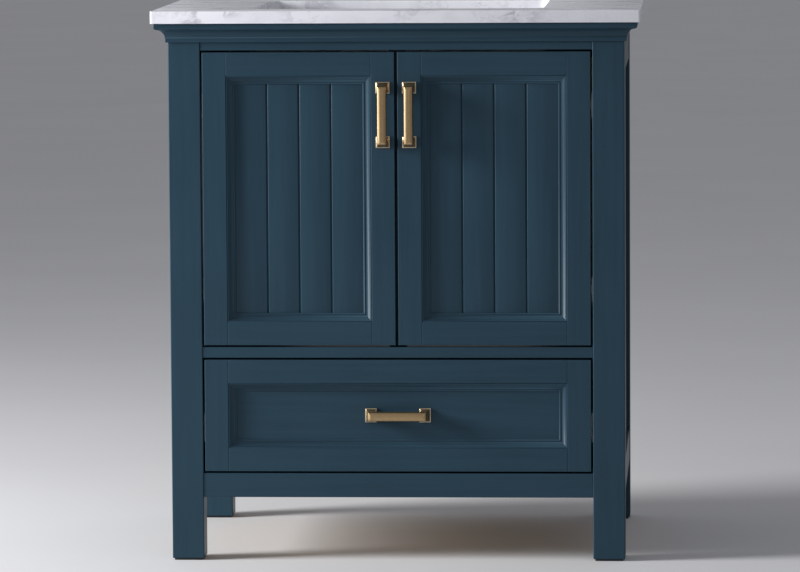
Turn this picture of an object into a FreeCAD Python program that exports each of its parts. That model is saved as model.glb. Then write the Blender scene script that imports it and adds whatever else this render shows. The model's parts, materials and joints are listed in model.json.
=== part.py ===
"""A bathroom vanity cabinet: a painted frame on four legs, a marble top with an undermount
basin, two inset beadboard doors on concealed hinges and one wide drawer on slides.

The frame stands on z = 0, faces -Y and is centred on x = 0. Sizes are in millimetres.
"""
import FreeCAD, Part
import os
import re
import Sketcher
from FreeCAD import Placement, Rotation, Vector

# Driving sizes: alias, value and what it measures.
SIZES = (
    ("overall_height", 864, "floor to the face of the countertop"),
    ("top_width", 762, "countertop, side to side"),
    ("top_depth", 559, "countertop, front to back"),
    ("top_thick", 19, "countertop slab"),
    ("top_ease", 2, "rounding of the slab's upper edges"),
    ("top_corner", 3, "rounding of the slab's upright corners"),
    ("top_overhang", 5, "slab beyond the crown moulding"),
    ("opening_width", 457, "basin opening in the slab, side to side"),
    ("opening_setback", 90, "slab in front of the basin opening"),
    ("opening_rear", 139, "slab behind the basin opening"),
    ("opening_corner", 20, "corner radius of the basin opening"),
    ("faucet_radius", 17.5, "faucet holes"),
    ("faucet_spread", 203.2, "outer faucet holes, centre to centre"),
    ("faucet_setback", 65, "faucet holes behind the basin opening"),
    ("crown_reach", 20, "crown moulding beyond the legs"),
    ("crown_height", 30, "crown moulding"),
    ("crown_foot", 3.5, "lowest step of the crown beyond the legs"),
    ("crown_cove", 13.6, "radius of the crown's cove"),
    ("crown_quirk", 2.4, "crown's upper bead beyond its cove"),
    ("crown_bead", 9, "height of the crown's upper bead"),
    ("crown_round", 2, "rounding of the crown's upper bead"),
    ("leg_size", 50, "square legs"),
    ("leg_ease", 1.5, "rounding of the legs' edges"),
    ("pad_thick", 3, "foot pads"),
    ("pad_inset", 3, "foot pads inside the legs' faces"),
    ("apron_bottom", 100, "floor to the apron rail"),
    ("apron_height", 38, "apron rail"),
    ("drawer_front_height", 176, "drawer front"),
    ("middle_rail_height", 17, "rail between drawer and doors"),
    ("top_rail_height", 43, "rail above the doors"),
    ("rail_thick", 20, "front, side and back rails"),
    ("rail_setback", 1, "rails behind the legs' faces"),
    ("edge_ease", 0.9, "rounding of the boards' face edges"),
    ("side_recess", 6, "side panels behind the legs' outer faces"),
    ("side_panel_thick", 9, "side panels"),
    ("back_panel_thick", 6, "back panel"),
    ("housing", 6, "depth of the panel housings in legs and rails"),
    ("side_rail_low", 50, "lower side and back rails"),
    ("side_rail_high", 80, "upper side and back rails"),
    ("plumbing_width", 400, "opening in the back panel"),
    ("plumbing_height", 250, "opening in the back panel"),
    ("plumbing_rise", 90, "opening in the back panel above the deck"),
    ("deck_thick", 15, "deck under the door compartment"),
    ("floor_thick", 12, "bottom panel under the drawer"),
    ("stop_width", 26, "post that stops the doors"),
    ("stop_thick", 15, "post that stops the doors, front to back"),
    ("block_reach", 60, "corner blocks beyond the legs"),
    ("block_thick", 20, "corner blocks"),
    ("door_gap", 3, "gap round each door and the drawer front"),
    ("meeting_gap", 4.5, "gap between the two doors"),
    ("door_thick", 20, "doors and drawer front"),
    ("frame_face", 37, "face of the stiles and rails"),
    ("mould_width", 13.2, "inner moulding"),
    ("mould_drop", 0.6, "outer bead of the moulding below the frame's face"),
    ("mould_bead", 2.4, "outer bead of the moulding"),
    ("mould_quirk", 1.2, "step behind the outer bead"),
    ("mould_edge", 2.2, "inner bead of the moulding"),
    ("mould_edge_rise", 2.6, "inner bead above the panel"),
    ("mould_step", 0.8, "cove's floor below the inner bead"),
    ("mould_cove", 4, "radius of the moulding's cove"),
    ("panel_recess", 9.5, "panels behind the frame's face"),
    ("panel_thick", 6, "door and drawer panels"),
    ("panel_tongue", 6.2, "panel edge held behind the moulding"),
    ("panel_play", 0.5, "panel clearance inside its frame"),
    ("groove_width", 3.6, "V-grooves of the beadboard"),
    ("groove_depth", 2.4, "V-grooves of the beadboard"),
    ("pull_length", 103, "pulls, end to end"),
    ("pull_base_length", 18, "each base of a pull, along it"),
    ("pull_base_width", 22, "each base of a pull, across it"),
    ("pull_plate", 2.5, "base plate of a pull"),
    ("pull_rim", 1.4, "rim of the base plate round the post"),
    ("pull_bar_length", 92, "bar of a pull"),
    ("pull_bar_width", 15, "bar of a pull"),
    ("pull_bar_thick", 9, "bar of a pull"),
    ("pull_bevel", 2.6, "bevel round the bar's face"),
    ("pull_post", 12, "post of a pull under the bar"),
    ("pull_reach", 28, "pull beyond the face that it stands on"),
    ("pull_drop", 98, "door pulls' middle below the door's top edge"),
    ("screw_radius", 2, "pull screws"),
    ("screw_head_radius", 4, "pull screws"),
    ("screw_head", 2, "height of a screw head"),
    ("screw_bite", 9, "screw inside the pull"),
    ("basin_flange", 25, "basin rim beyond its bowl"),
    ("basin_rim", 12, "thickness of the basin rim"),
    ("basin_reveal", 3, "bowl beyond the slab's opening, all round"),
    ("basin_wall", 10, "basin wall and floor"),
    ("basin_bowl", 150, "depth of the bowl below the slab"),
    ("basin_taper", 22, "inward lean of the bowl's walls"),
    ("basin_floor_round", 18, "rounding of the bowl's floor"),
    ("drain_radius", 22.25, "drain hole"),
    ("clip_width", 30, "basin clips"),
    ("clip_reach", 14, "basin clip under the rim and outside it"),
    ("clip_metal", 3, "basin clip plate"),
    ("clip_spread", 180, "basin clips, centre to centre"),
    ("slide_start", 2, "drawer slides behind the drawer front"),
    ("slide_short", 30, "drawer slides shorter than the drawer box"),
    ("slide_thick", 12.7, "drawer slides, side to side"),
    ("slide_height", 45, "drawer slides"),
    ("slide_metal", 1.2, "sheet of the slide members"),
    ("slide_play", 1.2, "gap between the members' webs"),
    ("slide_step", 1.8, "gap between the members' lips"),
    ("spacer_height", 70, "spacers that carry the slides"),
    ("box_thick", 15, "drawer box sides, front and back"),
    ("box_height", 110, "drawer box"),
    ("box_back_gap", 63, "drawer box in front of the back rails"),
    ("box_rise", 12, "drawer box above the drawer front's lower edge"),
    ("box_bottom_thick", 6, "drawer box bottom"),
    ("box_bottom_rise", 10, "drawer box bottom above the box's lower edge"),
    ("hinge_inset", 85, "hinges from the door's ends"),
    ("cup_radius", 17.5, "hinge cups"),
    ("cup_edge", 5, "hinge cup from the door's outer edge"),
    ("cup_depth", 10.5, "hinge cups"),
    ("cup_wall", 1.2, "sheet of the hinge cups"),
    ("cup_ear_width", 15, "screw ears of the cups"),
    ("cup_ear_length", 52, "screw ears of the cups, end to end"),
    ("pivot_in", 37, "arm pivot from the door's outer edge"),
    ("pivot_rise", 7.6, "arm pivot behind the door's back"),
    ("link_in", 15.5, "free end of the link from the door's outer edge"),
    ("link_sunk", 4.5, "free end of the link inside the door's back"),
    ("link_bow", 4.5, "bow of the link"),
    ("link_thick", 2.6, "sheet of the link"),
    ("link_width", 8, "link, up and down"),
    ("link_eye", 2.6, "radius of the link's eye round the pin"),
    ("link_tip", 1.9, "radius of the link's free end"),
    ("pin_radius", 1.2, "arm pin"),
    ("pin_play", 0.05, "radial clearance of the pin"),
    ("arm_gap", 0.3, "clearance between link and arm"),
    ("arm_cheek", 2.4, "cheeks of the arm's fork"),
    ("cheek_root", 1, "cheeks let into the arm bar"),
    ("arm_thick", 6, "arm bar, front to back"),
    ("plate_thick", 2, "hinge mounting plates"),
    ("plate_lead", 6.5, "hinge plates in front of the arm bar"),
    ("plate_depth", 26, "hinge mounting plates, front to back"),
    ("plate_height", 38, "hinge mounting plates"),
)
PLANKS = 4

# Places that follow from the driving sizes.
PLACES = {
    "overhang": "crown_reach + top_overhang",
    "leg_out": "top_width / 2 - overhang",
    "leg_in": "leg_out - leg_size",
    "front": "0 - (top_depth - overhang - max(overhang; pull_reach)) / 2",
    "back": "front + top_depth - overhang",
    "under_top": "overall_height - top_thick",
    "rail_front": "front + rail_setback",
    "rail_inside": "front + rail_setback + rail_thick",
    "back_inside": "back - rail_setback - rail_thick",
    "apron_top": "apron_bottom + apron_height",
    "drawer_low": "apron_top + door_gap",
    "drawer_width": "2 * leg_in - 2 * door_gap",
    "middle_low": "drawer_low + drawer_front_height + door_gap",
    "middle_high": "middle_low + middle_rail_height",
    "door_low": "middle_high + door_gap",
    "door_high": "under_top - top_rail_height - door_gap",
    "door_height": "door_high - door_low",
    "door_width": "leg_in - door_gap - meeting_gap / 2",
    "door_edge": "0 - leg_in + door_gap",
    "rail_inside_x": "leg_out - rail_setback - rail_thick",
    "side_inside": "leg_out - side_recess - side_panel_thick",
    "panel_low": "apron_bottom + side_rail_low - housing",
    "panel_high": "under_top - side_rail_high + housing",
    "lip": "frame_face + mould_width",
    "rebate": "lip - panel_tongue",
    "behind_panel": "panel_recess + panel_thick",
    "slab_front": "front - overhang",
    "opening_depth": "top_depth - opening_setback - opening_rear",
    "bowl_front": "slab_front + opening_setback - basin_reveal",
    "bowl_width": "opening_width + 2 * basin_reveal",
    "bowl_depth": "opening_depth + 2 * basin_reveal",
    "box_low": "drawer_low + box_rise",
    "box_half": "leg_in - slide_thick",
    "slide_low": "box_low + (box_height - slide_height) / 2",
    "box_length": "back_inside - front - door_thick - box_back_gap",
    "slide_length": "box_length - slide_short",
    "slide_front": "front + door_thick + slide_start",
    "pull_in": "(pull_length - pull_base_length) / 2",
    "cup_middle": "cup_edge + cup_radius",
    "pivot_back": "door_thick + pivot_rise",
}

doc = FreeCAD.newDocument("Vanity")
sheet = doc.addObject("Spreadsheet::Sheet", "Sizes")
size = {}
nodes = []


# ---- sizes and expressions

def fill_sheet():
    """Write every driving size into the sheet under its alias."""
    for row, (alias, value, meaning) in enumerate(SIZES, start=1):
        sheet.set(f"A{row}", str(value))
        sheet.setAlias(f"A{row}", alias)
        sheet.set(f"B{row}", meaning)
        size[alias] = float(value)
    doc.recompute()


def spell(text):
    """Spell a size or place out as an expression on the sheet's cells."""
    def swap(match):
        name = match.group(0)
        if name in PLACES:
            return "(" + spell(PLACES[name]) + ")"
        if name in size:
            return "Sizes." + name
        return name
    return re.sub(r"[a-z_]+", swap, str(text))


def bind(thing, prop, text):
    """Tie one property to the sheet."""
    thing.setExpression(prop, spell(text))


def place(thing, x, y, z):
    """Tie a piece's place to the sheet."""
    bind(thing, "Placement.Base.x", x)
    bind(thing, "Placement.Base.y", y)
    bind(thing, "Placement.Base.z", z)


def keep(thing, label):
    """Name a finished piece and list it for writing."""
    thing.Label = label
    nodes.append(thing)
    return thing


# ---- sketches and features

def new_body(name, x, y, z):
    """A body whose own corner stands at x, y, z."""
    body = doc.addObject("PartDesign::Body", name)
    place(body, x, y, z)
    return body


def new_sketch(body, plane, lift=None):
    """A sketch on one of the body's own origin planes, raised by lift along its normal."""
    sketch = body.newObject("Sketcher::SketchObject", "Outline")
    support = [item for item in body.Origin.OriginFeatures if item.Role == plane][0]
    sketch.AttachmentSupport = (support, [""])
    sketch.MapMode = "FlatFace"
    if lift is not None:
        bind(sketch, "AttachmentOffset.Base.z", lift)
    return sketch


def fix_point(sketch, geometry, point, across, up):
    """Hold one point of the sketch at a place given by two sizes."""
    for kind, axis, text in (("DistanceX", -2, across), ("DistanceY", -1, up)):
        if str(text) == "0":
            sketch.addConstraint(Sketcher.Constraint("PointOnObject", geometry, point, axis))
            continue
        row = sketch.addConstraint(Sketcher.Constraint(kind, -1, 1, geometry, point, 1.0))
        bind(sketch, f"Constraints[{row}]", text)


def polygon(sketch, corners):
    """A closed outline through the corners, each held by two sizes."""
    first = sketch.GeometryCount
    count = len(corners)
    spots = [Vector(1 + index % 2, 1 + index // 2, 0) for index in range(count)]
    for index in range(count):
        line = Part.LineSegment(spots[index], spots[(index + 1) % count])
        sketch.addGeometry(line, False)
    for index in range(count):
        after = first + (index + 1) % count
        sketch.addConstraint(Sketcher.Constraint("Coincident", first + index, 2, after, 1))
    for index, (across, up) in enumerate(corners):
        fix_point(sketch, first + index, 1, across, up)


def rectangle(sketch, left, low, width, height):
    """An upright rectangle given by its lower left corner and its two sizes."""
    right = f"{left} + {width}"
    high = f"{low} + {height}"
    polygon(sketch, [(left, low), (right, low), (right, high), (left, high)])


def circle(sketch, across, up, radius):
    """A circle given by its centre and radius."""
    row = sketch.addGeometry(Part.Circle(Vector(1, 1, 0), Vector(0, 0, 1), 1.0), False)
    fix_point(sketch, row, 3, across, up)
    radius_row = sketch.addConstraint(Sketcher.Constraint("Radius", row, 1.0))
    bind(sketch, f"Constraints[{radius_row}]", radius)


def pad(body, sketch, length, backward=False):
    """Raise the sketch by a length."""
    feature = body.newObject("PartDesign::Pad", "Pad")
    feature.Profile = sketch
    feature.Reversed = backward
    bind(feature, "Length", length)
    return feature


def pocket(body, sketch, length, forward=False):
    """Cut the sketch into the body by a length; forward is along the sketch's normal."""
    doc.recompute()
    before = body.Shape.Volume
    feature = body.newObject("PartDesign::Pocket", "Pocket")
    feature.Profile = sketch
    feature.Reversed = forward
    bind(feature, "Length", length)
    doc.recompute()
    if before - body.Shape.Volume < 1e-6:
        raise ValueError(f"{body.Name}: a pocket cuts nothing")
    return feature


def loft(body, kind, lower, upper):
    """Join two sketches by a straight-sided loft, added or cut away."""
    feature = body.newObject(f"PartDesign::{kind}Loft", "Loft")
    feature.Profile = lower
    feature.Sections = [upper]
    feature.Ruled = True
    return feature


def round_edges(body, radius, chosen, kind="Fillet"):
    """Round or bevel the edges that chosen picks on the body's last feature."""
    doc.recompute()
    base = body.Tip
    names = [f"Edge{row}" for row, edge in enumerate(base.Shape.Edges, start=1) if chosen(edge)]
    if not names:
        raise ValueError(f"{body.Name}: no edge to round")
    feature = body.newObject(f"PartDesign::{kind}", kind)
    feature.Base = (base, names)
    bind(feature, "Radius" if kind == "Fillet" else "Size", radius)
    return feature


def runs_along(edge, axis):
    """True for a straight edge along one axis, 0 to 2."""
    if len(edge.Vertexes) != 2:
        return False
    step = edge.Vertexes[1].Point - edge.Vertexes[0].Point
    return abs(abs(step[axis]) - step.Length) < 1e-6


def lies_at(edge, axis, value):
    """True for an edge whose every point has one coordinate at value."""
    return all(abs(vertex.Point[axis] - value) < 1e-6 for vertex in edge.Vertexes)


def board(name, x, y, z, length, depth, height, eased=None):
    """A rectangular board; eased rounds the edges of its front face."""
    body = new_body(name, x, y, z)
    sketch = new_sketch(body, "XY_Plane")
    rectangle(sketch, "0", "0", length, depth)
    pad(body, sketch, height)
    if eased:
        round_edges(body, eased, lambda edge: lies_at(edge, 1, 0))
    return body


def compound(name, members):
    """Several solids that share one node."""
    group = doc.addObject("Part::Compound", name)
    group.Links = members
    return group


def cut(name, base, tools):
    """A piece with housings or holes for the pieces that it holds."""
    feature = doc.addObject("Part::Cut", name)
    feature.Base = base
    feature.Tool = tools[0] if len(tools) == 1 else compound(name + "_tools", tools)
    return feature


def mirror(name, source, axis, middle="0"):
    """The same piece on the other side of the cabinet; axis is x or y."""
    feature = doc.addObject("Part::Mirroring", name)
    feature.Source = source
    feature.Normal = Vector(1, 0, 0) if axis == "x" else Vector(0, 1, 0)
    if middle != "0":
        bind(feature, f"Base.{axis}", middle)
    return feature


def keep_pair(piece, left_label, right_label):
    """List a left-hand piece and its mirror image."""
    keep(piece, left_label)
    keep(mirror(right_label, piece, "x"), right_label)


# ---- cabinet

def notched_panel(name, half, z, thick):
    """A shelf of a given half width, notched round the four legs."""
    body = new_body(name, f"0 - ({half})", "rail_inside", z)
    notch = f"{half} - leg_in"
    wide = f"2 * ({half})"
    deep = "back_inside - rail_inside"
    front_notch = "leg_size - rail_setback - rail_thick"
    sketch = new_sketch(body, "XY_Plane")
    polygon(sketch, [
        (notch, "0"),
        (f"{wide} - ({notch})", "0"),
        (f"{wide} - ({notch})", front_notch),
        (wide, front_notch),
        (wide, f"{deep} - ({front_notch})"),
        (f"{wide} - ({notch})", f"{deep} - ({front_notch})"),
        (f"{wide} - ({notch})", deep),
        (notch, deep),
        (notch, f"{deep} - ({front_notch})"),
        ("0", f"{deep} - ({front_notch})"),
        ("0", front_notch),
        (notch, front_notch),
    ])
    pad(body, sketch, thick)
    return body


def back_panel():
    """The thin back with its opening for the plumbing."""
    middle_y = "back_inside + rail_thick / 2"
    body = new_body("BackBoard", "0 - leg_in - housing", f"{middle_y} - back_panel_thick / 2", "panel_low")
    sketch = new_sketch(body, "XZ_Plane")
    rectangle(sketch, "0", "0", "2 * (leg_in + housing)", "panel_high - panel_low")
    pad(body, sketch, "back_panel_thick", backward=True)
    opening = new_sketch(body, "XZ_Plane")
    rectangle(opening, "leg_in + housing - plumbing_width / 2", "middle_high + plumbing_rise - panel_low",
              "plumbing_width", "plumbing_height")
    pocket(body, opening, "back_panel_thick")
    return body


def leg_board():
    """One square leg with eased edges."""
    body = new_body("LegBoard", "0 - leg_out", "front", "pad_thick")
    sketch = new_sketch(body, "XY_Plane")
    rectangle(sketch, "0", "0", "leg_size", "leg_size")
    pad(body, sketch, "under_top - pad_thick")
    round_edges(body, "leg_ease", lambda edge: runs_along(edge, 2) or lies_at(edge, 2, 0))
    return body


def side_rail(name, z, height):
    """A rail between the front and back legs of the left side."""
    return board(name, "0 - leg_out + rail_setback", "front + leg_size", z,
                 "rail_thick", "back - front - 2 * leg_size", height)


def back_rail(name, z, height):
    """A rail between the back legs."""
    return board(name, "0 - leg_in", "back_inside", z, "2 * leg_in", "rail_thick", height)


def make_carcass():
    """Legs, rails, panels, shelves and corner blocks."""
    side_panel = board("SidePanel", "0 - leg_out + side_recess", "front + leg_size - housing", "panel_low",
                       "side_panel_thick", "back - front - 2 * leg_size + 2 * housing",
                       "panel_high - panel_low")
    back_board = back_panel()
    front_leg = leg_board()
    back_leg = mirror("BackLegBoard", front_leg, "y", "(front + back) / 2")
    keep_pair(cut("FrontLeg", front_leg, [side_panel]), "front_left_leg", "front_right_leg")
    keep_pair(cut("BackLeg", back_leg, [side_panel, back_board]), "back_left_leg", "back_right_leg")

    pad_size = "leg_size - 2 * pad_inset"
    foot = board("FootPad", "0 - leg_out + pad_inset", "front + pad_inset", "0",
                 pad_size, pad_size, "pad_thick")
    back_foot = mirror("BackFootPad", foot, "y", "(front + back) / 2")
    feet = [foot, back_foot, mirror("FootPadRight", foot, "x"), mirror("BackFootPadRight", back_foot, "x")]
    keep(compound("FootPads", feet), "foot_pads")

    for label, z, height in (
        ("front_top_rail", "under_top - top_rail_height", "top_rail_height"),
        ("front_middle_rail", "middle_low", "middle_rail_height"),
        ("front_apron_rail", "apron_bottom", "apron_height"),
    ):
        rail = board(label, "0 - leg_in", "rail_front", z, "2 * leg_in", "rail_thick", height,
                     eased="edge_ease")
        keep(rail, label)

    low = cut("SideRailLow", side_rail("SideRailLowBoard", "apron_bottom", "side_rail_low"), [side_panel])
    high_z = "under_top - side_rail_high"
    high = cut("SideRailHigh", side_rail("SideRailHighBoard", high_z, "side_rail_high"), [side_panel])
    keep_pair(compound("SideRails", [low, high]), "left_side_rails", "right_side_rails")
    keep_pair(side_panel, "left_side_panel", "right_side_panel")

    low_board = back_rail("BackRailLowBoard", "apron_bottom", "side_rail_low")
    back_low = cut("BackRailLow", low_board, [back_board])
    high_board = back_rail("BackRailHighBoard", high_z, "side_rail_high")
    back_high = cut("BackRailHigh", high_board, [back_board])
    keep(compound("BackRails", [back_low, back_high]), "back_rails")
    keep(back_board, "back_panel")

    keep(notched_panel("Deck", "side_inside", "middle_high - deck_thick", "deck_thick"), "cabinet_deck")
    keep(notched_panel("Floor", "rail_inside_x", "apron_top - floor_thick", "floor_thick"), "bottom_panel")
    stop = board("DoorStop", "0 - stop_width / 2", "rail_inside", "middle_high",
                 "stop_width", "stop_thick", "under_top - middle_high", eased="edge_ease")
    keep(stop, "door_stop_post")
    make_corner_blocks()


def make_corner_blocks():
    """Five-sided blocks that wrap the inner corner of each leg and carry the slab."""
    body = new_body("CornerBlock", "0 - rail_inside_x", "rail_inside", "under_top - block_thick")
    inner = "rail_inside_x - leg_in"
    sketch = new_sketch(body, "XY_Plane")
    polygon(sketch, [
        (inner, "0"),
        (f"{inner} + block_reach", "0"),
        ("0", "leg_size - rail_setback - rail_thick + block_reach"),
        ("0", "leg_size - rail_setback - rail_thick"),
        (inner, "leg_size - rail_setback - rail_thick"),
    ])
    pad(body, sketch, "block_thick")
    behind = mirror("BackBlock", body, "y", "(front + back) / 2")
    blocks = [body, behind, mirror("BlockRight", body, "x"), mirror("BackBlockRight", behind, "x")]
    keep(compound("CornerBlocks", blocks), "corner_blocks")


# ---- crown moulding

def crown_strip(name, length, both_ends):
    """A length of crown; its outer side is y = 0 and it runs along x to a mitre."""
    body = new_body(name, "0", "0", "0")
    sketch = new_sketch(body, "YZ_Plane")
    cove_face = "crown_reach - crown_foot"
    cove_top = "crown_height - crown_bead"
    polygon(sketch, [
        ("crown_reach", "0"),
        (cove_face, "0"),
        (cove_face, cove_top),
        ("crown_quirk", cove_top),
        ("0", cove_top),
        ("0", "crown_height"),
        ("crown_reach", "crown_height"),
    ])
    pad(body, sketch, length)
    cove_y = size["crown_reach"] - size["crown_foot"]
    cove_z = size["crown_height"] - size["crown_bead"]
    round_edges(body, "crown_cove",
                lambda edge: runs_along(edge, 0) and lies_at(edge, 1, cove_y) and lies_at(edge, 2, cove_z))
    round_edges(body, "crown_round", lambda edge: runs_along(edge, 0) and lies_at(edge, 1, 0)
                and lies_at(edge, 2, size["crown_height"]))
    mitre = new_sketch(body, "XY_Plane")
    end = f"({length})"
    polygon(mitre, [(end, "0"), (end, "crown_reach"), (f"{end} - crown_reach", "crown_reach")])
    if both_ends:
        polygon(mitre, [("0", "0"), ("crown_reach", "crown_reach"), ("0", "crown_reach")])
    pocket(body, mitre, "crown_height", forward=True)
    return body


def make_crown():
    """The front length and the two side returns."""
    front_strip = crown_strip("CrownFront", "2 * (leg_out + crown_reach)", True)
    place(front_strip, "0 - leg_out - crown_reach", "front - crown_reach", "under_top - crown_height")
    keep(front_strip, "crown_front")
    side_strip = crown_strip("CrownSide", "back - front + crown_reach", False)
    side_strip.Placement = Placement(Vector(), Rotation(Vector(0, 0, 1), -90))
    place(side_strip, "0 - leg_out - crown_reach", "back", "under_top - crown_height")
    keep_pair(side_strip, "crown_left", "crown_right")


# ---- countertop and basin

def make_countertop():
    """The slab with its basin opening and three faucet holes."""
    body = new_body("Slab", "0 - top_width / 2", "slab_front", "under_top")
    sketch = new_sketch(body, "XY_Plane")
    rectangle(sketch, "0", "0", "top_width", "top_depth")
    pad(body, sketch, "top_thick")
    round_edges(body, "top_corner", lambda edge: runs_along(edge, 2))
    opening = new_sketch(body, "XY_Plane")
    rectangle(opening, "(top_width - opening_width) / 2", "opening_setback", "opening_width", "opening_depth")
    pocket(body, opening, "top_thick", forward=True)
    inner_left = (size["top_width"] - size["opening_width"]) / 2
    inner_right = inner_left + size["opening_width"]
    round_edges(body, "opening_corner", lambda edge: runs_along(edge, 2)
                and (lies_at(edge, 0, inner_left) or lies_at(edge, 0, inner_right)))
    round_edges(body, "top_ease", lambda edge: lies_at(edge, 2, size["top_thick"]))
    holes = new_sketch(body, "XY_Plane")
    for side in (-1, 0, 1):
        circle(holes, f"top_width / 2 + {side} * faucet_spread / 2",
               "opening_setback + opening_depth + faucet_setback", "faucet_radius")
    pocket(body, holes, "top_thick", forward=True)
    keep(body, "countertop")


def bowl_outline(sketch, inset, wall="0"):
    """The bowl's outline at one level, grown by a wall and drawn in by an inset."""
    offset = f"basin_flange - {wall} + {inset}"
    growth = f"2 * {wall} - 2 * {inset}"
    rectangle(sketch, offset, offset, f"bowl_width + {growth}", f"bowl_depth + {growth}")


def make_basin():
    """A rectangular ceramic bowl with a flat rim that is clipped under the slab."""
    full = "basin_bowl + basin_wall"
    body = new_body("Bowl", "0 - bowl_width / 2 - basin_flange", "bowl_front - basin_flange",
                    f"under_top - ({full})")
    rim = new_sketch(body, "XY_Plane", f"{full} - basin_rim")
    rectangle(rim, "0", "0", "bowl_width + 2 * basin_flange", "bowl_depth + 2 * basin_flange")
    pad(body, rim, "basin_rim")
    outer_high = new_sketch(body, "XY_Plane", f"{full} - basin_rim")
    bowl_outline(outer_high, "0", "basin_wall")
    outer_low = new_sketch(body, "XY_Plane")
    bowl_outline(outer_low, "basin_taper", "basin_wall")
    loft(body, "Additive", outer_high, outer_low)
    round_edges(body, "basin_flange", lambda edge: not lies_at(edge, 2, 0) and edge.BoundBox.ZLength > 1)
    inner_high = new_sketch(body, "XY_Plane", full)
    bowl_outline(inner_high, "0")
    inner_low = new_sketch(body, "XY_Plane", "basin_wall")
    bowl_outline(inner_low, "basin_taper")
    loft(body, "Subtractive", inner_high, inner_low)
    floor = size["basin_wall"]
    round_edges(body, "opening_corner", lambda edge: edge.BoundBox.ZLength > size["basin_bowl"] - 1
                and edge.BoundBox.ZMin > floor - 0.1)
    round_edges(body, "basin_floor_round", lambda edge: lies_at(edge, 2, floor))
    drain = new_sketch(body, "XY_Plane")
    circle(drain, "bowl_width / 2 + basin_flange", "bowl_depth / 2 + basin_flange", "drain_radius")
    pocket(body, drain, "basin_wall", forward=True)
    keep(body, "basin")


def make_clips():
    """Four metal clips that hold the basin's rim up against the slab."""
    rim_edge = "bowl_width / 2 + basin_flange"
    y = "bowl_front + bowl_depth / 2 + {} * clip_spread / 2 - clip_width / 2"
    clips = []
    for name, side in (("ClipFront", -1), ("ClipBack", 1)):
        body = new_body(name, f"0 - ({rim_edge}) - clip_reach", y.format(side),
                        "under_top - basin_rim - clip_metal")
        plate = new_sketch(body, "XY_Plane")
        rectangle(plate, "0", "0", "2 * clip_reach", "clip_width")
        pad(body, plate, "clip_metal")
        foot = new_sketch(body, "XY_Plane", "clip_metal")
        rectangle(foot, "0", "0", "clip_reach - panel_play", "clip_width")
        pad(body, foot, "basin_rim")
        clips += [body, mirror(name + "Right", body, "x")]
    keep(compound("Clips", clips), "basin_clips")


# ---- framed doors and drawer front

def layered(name, x, z, layers):
    """A frame member made of three layers, each (left, low, width, height, near, far)."""
    body = new_body(name, x, "front", z)
    for left, low, width, height, near, far in layers:
        sketch = new_sketch(body, "XZ_Plane", f"0 - ({near})")
        rectangle(sketch, left, low, width, height)
        pad(body, sketch, f"{far} - ({near})", backward=True)
    round_edges(body, "edge_ease", lambda edge: lies_at(edge, 1, 0))
    return body


LAYERS = (
    ("frame_face", "0", "panel_recess"),
    ("rebate", "panel_recess", "behind_panel"),
    ("lip", "behind_panel", "door_thick"),
)


def stile(name, x, z, height, at_left):
    """An upright frame member, stepped for the moulding and the panel on its inner side."""
    layers = []
    for reach, near, far in LAYERS:
        left = "0" if at_left else f"lip - {reach}"
        layers.append((left, "0", reach, height, near, far))
    return layered(name, x, z, layers)


def rail(name, x, z, width, at_bottom):
    """A level frame member between two stiles, stepped as they are."""
    layers = []
    for reach, near, far in LAYERS:
        low = "0" if at_bottom else f"lip - {reach}"
        left = "0" if reach == "frame_face" else f"{reach} - frame_face"
        layers.append((left, low, f"{width} - 2 * {reach}", reach, near, far))
    return layered(name, f"{x} + frame_face", z, layers)


def moulding_strip(name, length, x, z, turn):
    """One mitred side of the inner moulding; it runs along its own x, inward is its own z."""
    body = new_body(name, x, "front", z)
    sketch = new_sketch(body, "YZ_Plane")
    cove_y = "panel_recess - mould_edge_rise + mould_step"
    cove_z = "mould_width - mould_edge"
    polygon(sketch, [
        ("mould_drop", "0"),
        ("mould_drop", "mould_bead"),
        ("mould_drop + mould_quirk", "mould_bead"),
        ("mould_drop + mould_quirk", "mould_bead + mould_quirk"),
        (cove_y, "mould_bead + mould_quirk"),
        (cove_y, cove_z),
        ("panel_recess - mould_edge_rise", cove_z),
        ("panel_recess - mould_edge_rise", "mould_width"),
        ("panel_recess", "mould_width"),
        ("panel_recess", "0"),
    ])
    pad(body, sketch, length)
    corner_y = size["panel_recess"] - size["mould_edge_rise"] + size["mould_step"]
    corner_z = size["mould_bead"] + size["mould_quirk"]
    round_edges(body, "mould_cove", lambda edge: runs_along(edge, 0) and lies_at(edge, 1, corner_y)
                and lies_at(edge, 2, corner_z))
    mitres = new_sketch(body, "XZ_Plane")
    end = f"({length})"
    polygon(mitres, [("0", "0"), ("mould_width", "mould_width"), ("0", "mould_width")])
    polygon(mitres, [(end, "0"), (end, "mould_width"), (f"{end} - mould_width", "mould_width")])
    pocket(body, mitres, "door_thick")
    body.Placement = Placement(Vector(), Rotation(Vector(0, 1, 0), turn))
    place(body, x, "front", z)
    return body


def moulding(name, x, z, width, height):
    """The four mitred strips inside a frame."""
    long_side = f"{width} - 2 * frame_face"
    tall_side = f"{height} - 2 * frame_face"
    left = f"{x} + frame_face"
    right = f"{x} + {width} - frame_face"
    low = f"{z} + frame_face"
    high = f"{z} + {height} - frame_face"
    strips = [
        moulding_strip(name + "Low", long_side, left, low, 0),
        moulding_strip(name + "Right", tall_side, right, low, -90),
        moulding_strip(name + "High", long_side, right, high, 180),
        moulding_strip(name + "Left", tall_side, left, high, 90),
    ]
    return compound(name, strips)


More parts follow.
